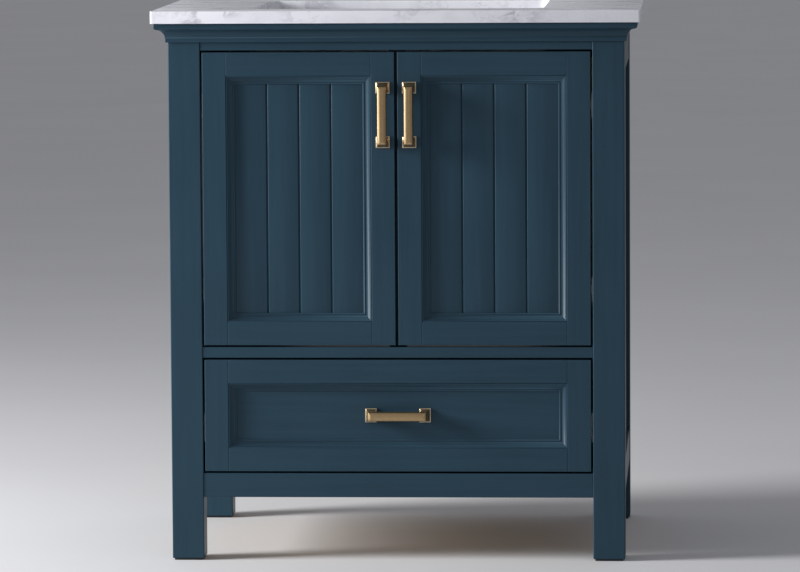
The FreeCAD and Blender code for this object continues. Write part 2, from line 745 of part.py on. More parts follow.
def flat_panel(name, x, z, width, height, grooved):
    """The panel held behind the moulding; a grooved one shows as planks."""
    edge = "rebate + panel_play"
    body = board(name, f"{x} + {edge}", "front + panel_recess", f"{z} + {edge}",
                 f"{width} - 2 * ({edge})", "panel_thick", f"{height} - 2 * ({edge})")
    if grooved:
        sketch = new_sketch(body, "XY_Plane")
        for plank in range(1, PLANKS):
            middle = f"lip - ({edge}) + ({width} - 2 * lip) * {plank} / {PLANKS}"
            polygon(sketch, [
                (f"{middle} - groove_width / 2", "0"),
                (f"{middle} + groove_width / 2", "0"),
                (middle, "groove_depth"),
            ])
        pocket(body, sketch, f"{height} - 2 * ({edge})", forward=True)
    return body


# ---- pulls

def pull(name, middle_x, base_y, middle_z, upright):
    """A bar pull: two stepped bases, a tapered post on each and a bevelled bar."""
    body = new_body(name, "0", "0", "0")
    plates = new_sketch(body, "XZ_Plane")
    rectangle(plates, "0", "0", "pull_base_length", "pull_base_width")
    rectangle(plates, "pull_length - pull_base_length", "0", "pull_base_length", "pull_base_width")
    pad(body, plates, "pull_plate")
    bar_start = "(pull_length - pull_bar_length) / 2"
    bar_low = "(pull_base_width - pull_bar_width) / 2"
    bar_back = "pull_reach - pull_bar_thick"
    for wide_left, narrow_left in (
        ("pull_rim", bar_start),
        ("pull_length - pull_base_length + pull_rim", f"pull_length - {bar_start} - pull_post"),
    ):
        wide = new_sketch(body, "XZ_Plane", "pull_plate")
        rectangle(wide, wide_left, "pull_rim", "pull_base_length - 2 * pull_rim",
                  "pull_base_width - 2 * pull_rim")
        narrow = new_sketch(body, "XZ_Plane", bar_back)
        rectangle(narrow, narrow_left, bar_low, "pull_post", "pull_bar_width")
        loft(body, "Additive", wide, narrow)
    bar = new_sketch(body, "XZ_Plane", bar_back)
    rectangle(bar, bar_start, bar_low, "pull_bar_length", "pull_bar_width")
    pad(body, bar, "pull_bar_thick")
    round_edges(body, "pull_bevel", lambda edge: lies_at(edge, 1, -size["pull_reach"]), kind="Chamfer")
    if upright:
        body.Placement = Placement(Vector(), Rotation(Vector(0, 1, 0), -90))
        place(body, f"{middle_x} + pull_base_width / 2", base_y, f"{middle_z} - pull_length / 2")
    else:
        place(body, f"{middle_x} - pull_length / 2", base_y, f"{middle_z} - pull_base_width / 2")
    return body


def pull_screws(name, middle_x, base_y, middle_z, reach, upright):
    """Two machine screws from behind; reach is from their heads to the pull's base."""
    screws = []
    for side in (-1, 1):
        x = middle_x if upright else f"{middle_x} + {side} * pull_in"
        z = f"{middle_z} + {side} * pull_in" if upright else middle_z
        label = name + ("Low" if side < 0 else "High")
        body = new_body(label, f"{x} - screw_head_radius", f"{base_y} + {reach} + screw_head",
                        f"{z} - screw_head_radius")
        head = new_sketch(body, "XZ_Plane")
        circle(head, "screw_head_radius", "screw_head_radius", "screw_head_radius")
        pad(body, head, "screw_head")
        shank = new_sketch(body, "XZ_Plane")
        circle(shank, "screw_head_radius", "screw_head_radius", "screw_radius")
        pad(body, shank, f"screw_head + {reach} + screw_bite")
        screws.append(body)
    return compound(name, screws)


# ---- concealed hinges

def hinge_cup(name, middle_z):
    """A pressed cup that fills its bore, with two screw ears on the door's back."""
    ear = "cup_ear_length / 2"
    body = new_body(name, "door_edge + cup_edge", "front + door_thick", f"{middle_z} - {ear}")
    bowl = new_sketch(body, "XZ_Plane")
    circle(bowl, "cup_radius", ear, "cup_radius")
    pad(body, bowl, "cup_depth")
    ears = new_sketch(body, "XZ_Plane")
    rectangle(ears, "cup_radius - cup_ear_width / 2", "0", "cup_ear_width", "cup_ear_length")
    pad(body, ears, "cup_wall", backward=True)
    hollow = new_sketch(body, "XZ_Plane", "0 - cup_wall")
    circle(hollow, "cup_radius", ear, "cup_radius - cup_wall")
    pocket(body, hollow, "cup_depth", forward=True)
    return body


def hinge_link(name, middle_z):
    """A bowed link from the arm's pin into the cup, open at its cup end."""
    back = Vector(size["link_in"], size["door_thick"] - size["link_sunk"], 0)
    pivot = Vector(size["pivot_in"], size["door_thick"] + size["pivot_rise"], 0)
    along = (pivot - back).normalize()
    outward = Vector(along.y, -along.x, 0)
    middle = (back + pivot) / 2 + outward * size["link_bow"]
    half = size["link_thick"] / 2
    chord = (pivot - back).Length / 2
    radius = (chord ** 2 + size["link_bow"] ** 2) / (2 * size["link_bow"])
    centre = middle - outward * radius
    inner = [centre + (spot - centre) * ((radius - half) / radius) for spot in (back, middle, pivot)]
    outer = [centre + (spot - centre) * ((radius + half) / radius) for spot in (back, middle, pivot)]
    edges = [
        Part.Arc(*inner).toShape(),
        Part.LineSegment(inner[2], outer[2]).toShape(),
        Part.Arc(outer[2], outer[1], outer[0]).toShape(),
        Part.LineSegment(outer[0], inner[0]).toShape(),
    ]
    lift = Vector(0, 0, size["link_width"])
    up = Vector(0, 0, 1)
    strap = Part.Face(Part.Wire(edges)).extrude(lift)
    eye = Part.makeCylinder(size["link_eye"], size["link_width"], pivot, up)
    tip = Part.makeCylinder(size["link_tip"], size["link_width"], back, up)
    hole = Part.makeCylinder(size["pin_radius"] + size["pin_play"], size["link_width"], pivot, up)
    link = doc.addObject("Part::Feature", name)
    link.Shape = strap.fuse([eye, tip]).cut(hole).removeSplitter()
    place(link, "door_edge", "front", f"{middle_z} - link_width / 2")
    return link


def hinge_arm(name, middle_z):
    """An arm on the leg, forked at its tip, with the pin that carries the link."""
    half = "link_width / 2 + arm_gap + arm_cheek"
    bar_near = "pivot_back + link_eye + arm_gap"
    body = new_body(name, "door_edge - door_gap + plate_thick", "front", f"{middle_z} - ({half})")
    shift = "door_gap - plate_thick"
    pivot = f"pivot_in + {shift}"
    bar = new_sketch(body, "XY_Plane")
    rectangle(bar, "0", bar_near, f"{pivot} + link_eye", "arm_thick")
    pad(body, bar, f"2 * ({half})")
    for level in ("0", f"2 * ({half}) - arm_cheek"):
        cheek = new_sketch(body, "XY_Plane", level)
        rectangle(cheek, f"{pivot} - link_eye", "pivot_back - link_eye", "2 * link_eye",
                  "2 * link_eye + arm_gap + cheek_root")
        pad(body, cheek, "arm_cheek")
    pin = new_sketch(body, "XY_Plane")
    circle(pin, pivot, "pivot_back", "pin_radius")
    pad(body, pin, f"2 * ({half})")
    return body


def hinge_plate(name, middle_z):
    """The plate that is screwed to the leg's inner face and carries the arm."""
    return board(name, "0 - leg_in", "front + pivot_back + link_eye + arm_gap - plate_lead",
                 f"{middle_z} - plate_height / 2", "plate_thick", "plate_depth", "plate_height")


HINGE_LEVELS = ("door_low + hinge_inset", "door_high - hinge_inset")


def make_hinges():
    """Two hinges a door: cups and links move, arms and plates stay with the cabinet."""
    parts = {"cup": [], "link": [], "arm": [], "plate": []}
    makers = {"cup": hinge_cup, "link": hinge_link, "arm": hinge_arm, "plate": hinge_plate}
    for kind, maker in makers.items():
        for row, level in enumerate(HINGE_LEVELS, start=1):
            parts[kind].append(maker(f"Hinge{kind.title()}{row}", level))
    keep_pair(compound("Cups", parts["cup"]), "left_door_hinge_cups", "right_door_hinge_cups")
    keep_pair(compound("Links", parts["link"]), "left_hinge_links", "right_hinge_links")
    for kind in ("arm", "plate"):
        mirrored = [mirror(f"Hinge{kind.title()}{row}Right", piece, "x")
                    for row, piece in enumerate(parts[kind], start=1)]
        keep(compound(kind.title() + "s", parts[kind] + mirrored), f"hinge_{kind}s")


# ---- doors

def make_doors():
    """The left door, piece by piece, and its mirror image."""
    corner = ("door_edge", "door_low")
    extent = ("door_width", "door_height")
    make_hinges()
    bores = []
    for row, level in enumerate(HINGE_LEVELS, start=1):
        bore = doc.addObject("Part::Cylinder", f"CupBore{row}")
        bore.Placement = Placement(Vector(), Rotation(Vector(1, 0, 0), 90))
        place(bore, "door_edge + cup_middle", "front + door_thick", level)
        bind(bore, "Radius", "cup_radius")
        bind(bore, "Height", "cup_depth")
        bores.append(bore)

    screw_x = "0 - meeting_gap / 2 - frame_face / 2"
    pull_z = "door_high - pull_drop"
    screws = pull_screws("DoorScrews", screw_x, "front", pull_z, "door_thick", True)
    handle = pull("DoorPull", screw_x, "front", pull_z, True)

    outer = stile("OuterStile", "door_edge", "door_low", "door_height", True)
    keep_pair(cut("OuterStileBored", outer, bores), "left_door_outer_stile", "right_door_outer_stile")
    inner = stile("InnerStile", "0 - meeting_gap / 2 - lip", "door_low", "door_height", False)
    keep_pair(cut("InnerStileDrilled", inner, [screws]), "left_door_inner_stile", "right_door_inner_stile")
    top = rail("DoorTopRail", "door_edge", "door_high - lip", "door_width", False)
    keep_pair(top, "left_door_top_rail", "right_door_top_rail")
    bottom = rail("DoorBottomRail", "door_edge", "door_low", "door_width", True)
    keep_pair(bottom, "left_door_bottom_rail", "right_door_bottom_rail")
    panel = flat_panel("DoorPanel", *corner, *extent, True)
    keep_pair(panel, "left_door_panel", "right_door_panel")
    keep_pair(moulding("DoorMoulding", *corner, *extent), "left_door_moulding", "right_door_moulding")
    keep_pair(cut("DoorPullTapped", handle, [screws]), "left_door_pull", "right_door_pull")
    keep_pair(screws, "left_door_pull_screws", "right_door_pull_screws")


# ---- drawer

def make_drawer_front():
    """The framed drawer front with its pull on the flat panel."""
    x = "0 - leg_in + door_gap"
    z = "drawer_low"
    width = "drawer_width"
    height = "drawer_front_height"
    left = stile("DrawerLeftStile", x, z, height, True)
    right = stile("DrawerRightStile", f"{x} + {width} - lip", z, height, False)
    keep(compound("DrawerStiles", [left, right]), "drawer_front_stiles")
    upper = rail("DrawerTopRail", x, f"{z} + {height} - lip", width, False)
    lower = rail("DrawerBottomRail", x, z, width, True)
    keep(compound("DrawerRails", [upper, lower]), "drawer_front_rails")
    keep(moulding("DrawerMoulding", x, z, width, height), "drawer_front_moulding")
    middle_z = "drawer_low + drawer_front_height / 2"
    base = "front + panel_recess"
    reach = "door_thick - panel_recess + box_thick"
    screws = pull_screws("DrawerScrews", "0", base, middle_z, reach, False)
    panel = flat_panel("DrawerPanel", x, z, width, height, False)
    keep(cut("DrawerPanelDrilled", panel, [screws]), "drawer_front_panel")
    handle = pull("DrawerPull", "0", base, middle_z, False)
    keep(cut("DrawerPullTapped", handle, [screws]), "drawer_pull")
    keep(screws, "drawer_pull_screws")
    return screws


def make_drawer_box(screws):
    """Two sides, a front, a back and a bottom that is housed in all four."""
    start = "front + door_thick"
    inside = "box_half - box_thick"
    inner_width = f"2 * ({inside})"
    bottom = board("BoxBottom", f"0 - ({inside}) - housing", f"{start} + box_thick - housing",
                   "box_low + box_bottom_rise", f"{inner_width} + 2 * housing",
                   "box_length - 2 * box_thick + 2 * housing", "box_bottom_thick")
    side = board("BoxSide", "0 - box_half", start, "box_low", "box_thick", "box_length", "box_height")
    housed = cut("BoxSideHoused", side, [bottom])
    keep(compound("BoxSides", [housed, mirror("BoxSideRight", housed, "x")]), "drawer_box_sides")
    face = board("BoxFront", f"0 - ({inside})", start, "box_low", inner_width, "box_thick", "box_height")
    keep(cut("BoxFrontHoused", face, [bottom, screws]), "drawer_box_front")
    rear = board("BoxBack", f"0 - ({inside})", f"{start} + box_length - box_thick", "box_low",
                 inner_width, "box_thick", "box_height")
    keep(cut("BoxBackHoused", rear, [bottom]), "drawer_box_back")
    keep(bottom, "drawer_box_bottom")


def channel(name, x, z, depth, height, open_right):
    """A thin channel along y whose web is at one side and whose lips point to the other."""
    body = new_body(name, x, "slide_front", z)
    sketch = new_sketch(body, "XZ_Plane")
    metal = "slide_metal"
    if open_right:
        corners = [("0", "0"), (depth, "0"), (depth, metal), (metal, metal), (metal, f"{height} - {metal}"),
                   (depth, f"{height} - {metal}"), (depth, height), ("0", height)]
    else:
        web = f"{depth} - {metal}"
        corners = [("0", "0"), (depth, "0"), (depth, height), ("0", height), ("0", f"{height} - {metal}"),
                   (web, f"{height} - {metal}"), (web, metal), ("0", metal)]
    polygon(sketch, corners)
    pad(body, sketch, "slide_length", backward=True)
    return body


def make_slides():
    """Three nested members a side: on the cabinet, between, and on the drawer box."""
    step = "slide_metal + slide_step"
    web = "slide_metal + slide_play"
    members = (
        ("slide_cabinet_members", "0", "0", "slide_thick - 2 * slide_play - slide_metal", True),
        ("slide_middle_members", web, step, f"slide_thick - slide_metal - slide_play - ({web})", True),
        ("slide_drawer_members", f"2 * ({web})", f"2 * ({step})", f"slide_thick - 2 * ({web})", False),
    )
    for label, inward, raised, depth, open_right in members:
        member = channel(label + "_left", f"0 - leg_in + {inward}", f"slide_low + {raised}",
                         depth, f"slide_height - 2 * ({raised})", open_right)
        keep(compound(label, [member, mirror(label + "_right", member, "x")]), label)
    spacer_low = "slide_low + slide_height / 2 - spacer_height / 2"
    spacer = board("Spacer", "0 - side_inside", "front + leg_size", spacer_low,
                   "side_inside - leg_in", "back - front - 2 * leg_size", "spacer_height")
    keep(compound("Spacers", [spacer, mirror("SpacerRight", spacer, "x")]), "slide_spacers")


# ---- checks and files

def check_model():
    """Refuse a model with a failed feature or an unsound solid."""
    doc.recompute()
    for item in doc.Objects:
        if "Invalid" in item.State or "Error" in item.State:
            raise ValueError(f"{item.Name} ({item.Label}) failed: {item.State}")
    for node in nodes:
        if node.Shape.isNull() or not node.Shape.isValid() or not node.Shape.Solids:
            raise ValueError(f"{node.Label} is not a sound solid")


def write_nodes():
    """Write one STEP file for each piece."""
    os.makedirs("parts", exist_ok=True)
    for node in nodes:
        node.Shape.exportStep(f"parts/{node.Label}.step")


fill_sheet()
make_carcass()
make_crown()
make_countertop()
make_basin()
make_clips()
make_doors()
make_drawer_box(make_drawer_front())
make_slides()
check_model()
write_nodes()
print(f"{len(nodes)} pieces written")
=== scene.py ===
"""A painted bathroom vanity cabinet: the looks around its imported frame.

Laid out as an add-on and run as a script: main() makes each group of pieces
through its operator, and the stage comes last.
"""

import json
import math

import bmesh
import bpy
from bpy.props import FloatProperty, FloatVectorProperty, PointerProperty
from mathutils import Euler, Matrix, Vector


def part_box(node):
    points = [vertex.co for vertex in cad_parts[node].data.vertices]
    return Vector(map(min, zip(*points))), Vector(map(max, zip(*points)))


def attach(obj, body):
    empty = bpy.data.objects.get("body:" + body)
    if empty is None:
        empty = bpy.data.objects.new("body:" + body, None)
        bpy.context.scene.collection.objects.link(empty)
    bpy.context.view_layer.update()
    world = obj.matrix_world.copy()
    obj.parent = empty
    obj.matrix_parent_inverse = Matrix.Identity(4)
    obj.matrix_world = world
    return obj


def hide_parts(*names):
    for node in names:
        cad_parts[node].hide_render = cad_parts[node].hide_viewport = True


bl_info = {
    "name": "Painted Vanity Cabinet",
    "version": (1, 0, 0),
    "blender": (4, 5, 0),
    "location": "3D View > Sidebar > Vanity",
    "description": "Makes a painted vanity cabinet around its packed frame",
    "category": "Add Mesh",
}

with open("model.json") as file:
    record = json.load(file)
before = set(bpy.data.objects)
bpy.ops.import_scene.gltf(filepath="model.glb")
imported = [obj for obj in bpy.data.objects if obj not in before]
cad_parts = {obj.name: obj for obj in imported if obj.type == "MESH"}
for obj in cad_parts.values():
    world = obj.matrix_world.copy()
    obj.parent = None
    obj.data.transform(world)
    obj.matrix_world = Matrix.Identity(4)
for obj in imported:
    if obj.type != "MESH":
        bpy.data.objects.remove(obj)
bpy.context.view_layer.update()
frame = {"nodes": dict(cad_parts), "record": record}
MM = 0.001
FRONT = Vector((0, -1, 0))
DOWN = Vector((0, 0, -1))
UP = Vector((0, 0, 1))
TOUCH = 1e-5
SQUARE_TO = 0.9
MOULDING_WIDTH = 13.2 * MM


# ---- sizes and colours that a user would change

class VanityPaint(bpy.types.PropertyGroup):
    """The satin paint on the cabinet."""
    colour: FloatVectorProperty(
        name="Colour", description="Body colour of the satin paint",
        subtype="COLOR", size=3, min=0, max=1, default=(0.0190, 0.0455, 0.0680))
    roughness: FloatProperty(
        name="Roughness", description="Sheen of the paint, from gloss to flat",
        min=0, max=1, default=0.38)
    grain: FloatProperty(
        name="Grain depth", description="Depth of the wood grain under the paint",
        subtype="DISTANCE", unit="LENGTH", min=0, default=0.00012)


class VanityMoulding(bpy.types.PropertyGroup):
    """The inner moulding of doors and drawer, and the crown."""
    bead: FloatProperty(
        name="Bead", description="Width of the moulding's outer bead",
        subtype="DISTANCE", unit="LENGTH", min=0.001, default=0.0024)
    quirk: FloatProperty(
        name="Quirk", description="Width of the fine step behind a bead",
        subtype="DISTANCE", unit="LENGTH", min=0.0002, default=0.0010)
    groove: FloatProperty(
        name="Groove", description="Width of the V-grooves between the planks",
        subtype="DISTANCE", unit="LENGTH", min=0.001, default=0.0036)
    groove_depth: FloatProperty(
        name="Groove depth", description="Depth of the V-grooves between the planks",
        subtype="DISTANCE", unit="LENGTH", min=0.0005, default=0.0026)


class VanityPull(bpy.types.PropertyGroup):
    """The brass pulls."""
    base_length: FloatProperty(
        name="Base length", description="Each base of a pull, along it",
        subtype="DISTANCE", unit="LENGTH", min=0.005, default=0.018)
    plate: FloatProperty(
        name="Plate", description="Thickness of the base plates",
        subtype="DISTANCE", unit="LENGTH", min=0.0005, default=0.0025)
    rim: FloatProperty(
        name="Rim", description="Rim of a base plate round its post",
        subtype="DISTANCE", unit="LENGTH", min=0.0002, default=0.0009)
    flare: FloatProperty(
        name="Flare", description="Depth over which a post widens to its base",
        subtype="DISTANCE", unit="LENGTH", min=0.0005, default=0.004)
    facet: FloatProperty(
        name="Facet", description="Width of the slopes along the bar's front",
        subtype="DISTANCE", unit="LENGTH", min=0.0005, default=0.0046)
    bar_width: FloatProperty(
        name="Bar width", description="Width of a pull's bar",
        subtype="DISTANCE", unit="LENGTH", min=0.004, default=0.015)
    bar_length: FloatProperty(
        name="Bar length", description="Length of a pull's bar",
        subtype="DISTANCE", unit="LENGTH", min=0.03, default=0.092)
    bar_thick: FloatProperty(
        name="Bar thickness", description="Thickness of a pull's bar",
        subtype="DISTANCE", unit="LENGTH", min=0.002, default=0.009)
    colour: FloatVectorProperty(
        name="Colour", description="Brass of the pulls",
        subtype="COLOR", size=3, min=0, max=1, default=(0.43, 0.305, 0.165))


class VanityStone(bpy.types.PropertyGroup):
    """The marble slab."""
    colour: FloatVectorProperty(
        name="Colour", description="Ground colour of the marble",
        subtype="COLOR", size=3, min=0, max=1, default=(0.74, 0.74, 0.79))
    vein: FloatVectorProperty(
        name="Vein colour", description="Colour of the darkest veins",
        subtype="COLOR", size=3, min=0, max=1, default=(0.27, 0.27, 0.33))
    ease: FloatProperty(
        name="Eased edge", description="Rounding of the slab's edges",
        subtype="DISTANCE", unit="LENGTH", min=0.0002, default=0.0018)


class VanityLight(bpy.types.PropertyGroup):
    """The studio."""
    key: FloatProperty(
        name="Key light", description="Power of the soft light at the upper left",
        unit="POWER", min=0, default=280.0)
    fill: FloatProperty(
        name="Fill light", description="Power of the weak light in front",
        unit="POWER", min=0, default=8.0)
    sky: FloatProperty(
        name="Surroundings", description="Strength of the even pale surroundings",
        min=0, default=0.38)


class VanitySettings(bpy.types.PropertyGroup):
    """All the settings of the cabinet."""
    paint: PointerProperty(type=VanityPaint)
    moulding: PointerProperty(type=VanityMoulding)
    pull: PointerProperty(type=VanityPull)
    stone: PointerProperty(type=VanityStone)
    light: PointerProperty(type=VanityLight)


# ---- modelling by hand

def sine(turn):
    """The sine of an angle in degrees."""
    return math.sin(math.radians(turn))


def fall(turn):
    """How far a quarter round has fallen after a turn in degrees, from 0 to 1."""
    return 1 - math.cos(math.radians(turn))


def put_down():
    """Leave edit mode and deselect everything."""
    active = bpy.context.view_layer.objects.active
    if active is not None and active.mode != "OBJECT":
        bpy.ops.object.mode_set(mode="OBJECT")
    bpy.ops.object.select_all(action="DESELECT")


def settle(name, extent, turn=(0, 0, 0)):
    """Size the new primitive, put its place into its mesh and open it for shaping."""
    piece = bpy.context.object
    piece.name = name
    piece.data.name = name
    piece.scale = extent
    piece.rotation_euler = turn
    bpy.ops.object.transform_apply(location=True, rotation=True, scale=True)
    bpy.ops.object.mode_set(mode="EDIT")
    return piece


def lay_face(name, low, high, facing):
    """A flat face that looks to the front or down, from corner to corner."""
    put_down()
    bpy.ops.mesh.primitive_plane_add(size=1, location=(low + high) / 2)
    if facing == FRONT:
        extent, turn = (high.x - low.x, high.z - low.z, 1), (math.pi / 2, 0, 0)
    else:
        extent, turn = (high.x - low.x, high.y - low.y, 1), (math.pi, 0, 0)
    return settle(name, extent, turn)


def lay_block(name, low, high):
    """A block from corner to corner."""
    put_down()
    bpy.ops.mesh.primitive_cube_add(size=1, location=(low + high) / 2)
    return settle(name, high - low)


def lay_round(name, centre, radius, depth, sides):
    """An upright cylinder about its centre."""
    put_down()
    bpy.ops.mesh.primitive_cylinder_add(vertices=sides, radius=radius, depth=depth, location=centre)
    return settle(name, (1, 1, 1))


def pick(piece, test, kind="faces"):
    """Select the faces or edges of the piece in edit mode that pass the test."""
    bpy.ops.mesh.select_mode(type="FACE" if kind == "faces" else "EDGE")
    bpy.ops.mesh.select_all(action="DESELECT")
    mesh = bmesh.from_edit_mesh(piece.data)
    found = [part for part in getattr(mesh, kind) if test(part)]
    if not found:
        raise RuntimeError(f"{piece.name}: nothing to select")
    for part in found:
        part.select_set(True)
    mesh.select_flush_mode()
    bmesh.update_edit_mesh(piece.data)


def middle(part):
    """The middle of a face or an edge."""
    return sum((vert.co for vert in part.verts), Vector()) / len(part.verts)


def span(edge):
    """The direction of an edge."""
    return (edge.verts[1].co - edge.verts[0].co).normalized()


def upright(edge):
    """Whether an edge stands upright."""
    return abs(span(edge).z) > SQUARE_TO


def extrude(step):
    """Extrude what is selected by a step."""
    bpy.ops.mesh.extrude_region_move(TRANSFORM_OT_translate={"value": step})


def grow(profile, facing):
    """Carry the selected face through a profile of (inward, forward) points, in metres."""
    for (here, level), (there, next_level) in zip(profile, profile[1:]):
        inward = there - here
        forward = next_level - level
        if inward > 0:
            bpy.ops.mesh.inset(thickness=inward, depth=forward, use_even_offset=True)
        else:
            extrude(facing * forward)


def cut_plane(point, normal, drop_outer=True):
    """Cut the piece in edit mode and close it; what lies along the normal goes."""
    bpy.ops.mesh.select_all(action="SELECT")
    bpy.ops.mesh.bisect(plane_co=point, plane_no=normal,
                        clear_outer=drop_outer, use_fill=drop_outer)


def tidy_mesh():
    """Merge doubles and point every face outwards."""
    bpy.ops.mesh.select_all(action="SELECT")
    bpy.ops.mesh.remove_doubles(threshold=1e-6)
    bpy.ops.mesh.normals_make_consistent(inside=False)


def combine(piece, other, operation="DIFFERENCE"):
    """Take the other solid out of the piece, or join it on."""
    step = piece.modifiers.new(other.name, "BOOLEAN")
    step.operation = operation
    step.solver = "EXACT"
    step.object = other
    put_down()
    piece.select_set(True)
    bpy.context.view_layer.objects.active = piece
    bpy.ops.object.modifier_apply(modifier=step.name)
    bpy.data.objects.remove(other)


def finish_piece(piece, body, finishes, replaced,
                 ease=0.0, segments=1, angle=50, smooth=42):
    """Ease the piece's edges, give it its finishes and set it on its body."""
    put_down()
    piece.select_set(True)
    bpy.context.view_layer.objects.active = piece
    if ease:
        bevel = piece.modifiers.new("Eased edges", "BEVEL")
        bevel.width = ease
        bevel.segments = segments
        bevel.limit_method = "ANGLE"
        bevel.angle_limit = math.radians(angle)
        bevel.harden_normals = False
        bpy.ops.object.modifier_apply(modifier=bevel.name)
    bpy.ops.object.shade_smooth_by_angle(angle=math.radians(smooth))
    for finish in finishes:
        if finish.name not in piece.data.materials:
            piece.data.materials.append(finish)
    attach(piece, body)
    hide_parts(*replaced)


def copy_of(piece, name):
    """A copy with its own mesh."""
    put_down()
    twin = piece.copy()
    twin.data = piece.data.copy()
    twin.name = name
    twin.data.name = name
    bpy.context.scene.collection.objects.link(twin)
    for key in list(twin.keys()):
        if key.startswith("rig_"):
            del twin[key]
    twin.parent = None
    twin.select_set(True)
    bpy.context.view_layer.objects.active = twin
    return twin


def mirrored(piece, name):
    """The piece on the other side of the cabinet, with its own mesh."""
    twin = copy_of(piece, name)
    bpy.ops.object.mode_set(mode="EDIT")
    bpy.ops.mesh.select_all(action="SELECT")
    bpy.ops.transform.mirror(constraint_axis=(True, False, False), center_override=(0, 0, 0))
    bpy.ops.mesh.flip_normals()
    put_down()
    return twin


# ---- shader maths

class Wire:
    """A socket in a shader, so that arithmetic on it reads as it does on numbers."""

    def __init__(self, tree, socket):
        self.tree = tree
        self.socket = socket

    def maths(self, operation, *values):
        """One Math node on these values."""
        node = self.tree.nodes.new("ShaderNodeMath")
        node.operation = operation
        for place, value in zip(node.inputs, values):
            feed(self.tree, place, value)
        return Wire(self.tree, node.outputs[0])

    def __add__(self, other):
        return self.maths("ADD", self, other)

    __radd__ = __add__

    def __mul__(self, other):
        return self.maths("MULTIPLY", self, other)

    __rmul__ = __mul__

    def __sub__(self, other):
        return self.maths("SUBTRACT", self, other)

    def __rsub__(self, other):
        return self.maths("SUBTRACT", other, self)

    def away(self):
        """The size of the value without its sign."""
        return self.maths("ABSOLUTE", self)

    def held(self):
        """The value held between 0 and 1."""
        return self.maths("MAXIMUM", self.maths("MINIMUM", self, 1.0), 0.0)


def feed(tree, place, value):
    """Give a socket a link or a value."""
    if isinstance(value, Wire):
        tree.links.new(value.socket, place)
    else:
        place.default_value = value


class Finish:
    """One procedural material on Object coordinates, as it is being made."""

    def __init__(self, name, **surface):
        self.material = bpy.data.materials.new(name)
        self.material.use_nodes = True
        self.tree = self.material.node_tree
        self.shader = self.tree.nodes["Principled BSDF"]
        self.place = self.node("ShaderNodeTexCoord", out="Object")
        self.surface(**surface)

    def node(self, kind, settings=None, out=0, **values):
        """One node: its type, its settings first, then its sockets' values or links."""
        node = self.tree.nodes.new(kind)
        for key, value in (settings or {}).items():
            setattr(node, key, value)
        for key, value in values.items():
            index = int(key[1:]) if key[0] == "_" else key.replace("_", " ")
            feed(self.tree, node.inputs[index], value)
        return Wire(self.tree, node.outputs[out])

    def surface(self, **values):
        """Set or link the shader's own sockets."""
        for key, value in values.items():
            if isinstance(value, tuple) and len(value) == 3:
                value = (*value, 1.0)
            feed(self.tree, self.shader.inputs[key.replace("_", " ")], value)

    def stretched(self, scale):
        """Object coordinates, stretched so that a pattern runs along one way."""
        return self.node("ShaderNodeMapping", Vector=self.place, Scale=scale)

    def noise(self, scale, detail=2.0, rough=0.5, vector=None, distort=0.0):
        """A noise from 0 to 1."""
        return self.node("ShaderNodeTexNoise", Vector=vector or self.place, Scale=scale,
                         Detail=detail, Roughness=rough, Distortion=distort)

    def between(self, share, low, high):
        """A colour between two, by a share."""
        return self.node("ShaderNodeMix", {"data_type": "RGBA"}, out=2, _0=share,
                         _6=(*low, 1.0) if isinstance(low, tuple) else low,
                         _7=(*high, 1.0) if isinstance(high, tuple) else high)

    def step(self, value, low, high):
        """A value mapped from low..high to 0..1 and held there, with a smooth knee."""
        return self.node("ShaderNodeMapRange", {"interpolation_type": "SMOOTHSTEP"},
                         Value=value, From_Min=low, From_Max=high)

    def relief(self, height, depth, strength=1.0, under=None):
        """A bump of a real depth in metres that feeds the shader's normal."""
        values = {"Height": height, "Distance": depth, "Strength": strength}
        if under is not None:
            values["Normal"] = under
        return self.node("ShaderNodeBump", **values)


def tint(colour, share):
    """A colour made lighter or darker by a share."""
    return tuple(min(1.0, max(0.0, part * share)) for part in colour)


GRAINS = {
    "upright": (130, 130, 4.5),
    "level": (4.5, 130, 130),
    "deep": (130, 4.5, 130),
}


def paint_finish(paint, way):
    """Satin paint over close-grained wood, its grain running one way."""
    finish = Finish(f"satin_paint_{way}", Specular_IOR_Level=0.15)
    colour = tuple(paint.colour)
    grain = finish.noise(1.0, 4.0, 0.62, finish.stretched(GRAINS[way]), 0.4)
    pores = finish.noise(1.0, 2.0, 0.5, finish.stretched(tuple(part * 4 for part in GRAINS[way])))
    cloud = finish.noise(5.0, 3.0, 0.55)
    skin = finish.noise(900.0, 1.0, 0.5)
    shade = finish.between(cloud, tint(colour, 0.86), tint(colour, 1.15))
    streak = finish.step(grain, 0.30, 0.72)
    worn = finish.between(streak * 0.30, shade, tint(colour, 1.45))
    fine = finish.step(pores, 0.60, 0.80)
    final = finish.between(fine * 0.22, worn, tint(colour, 0.55))
    gloss = paint.roughness + (cloud - 0.5) * 0.10 + (grain - 0.5) * 0.10
    under = finish.relief(skin, 0.00004, 0.5)
    normal = finish.relief(grain * 0.7 + pores * 0.3, paint.grain, 0.8, under)
    finish.surface(Base_Color=final, Roughness=gloss.held(), Normal=normal)
    return finish.material


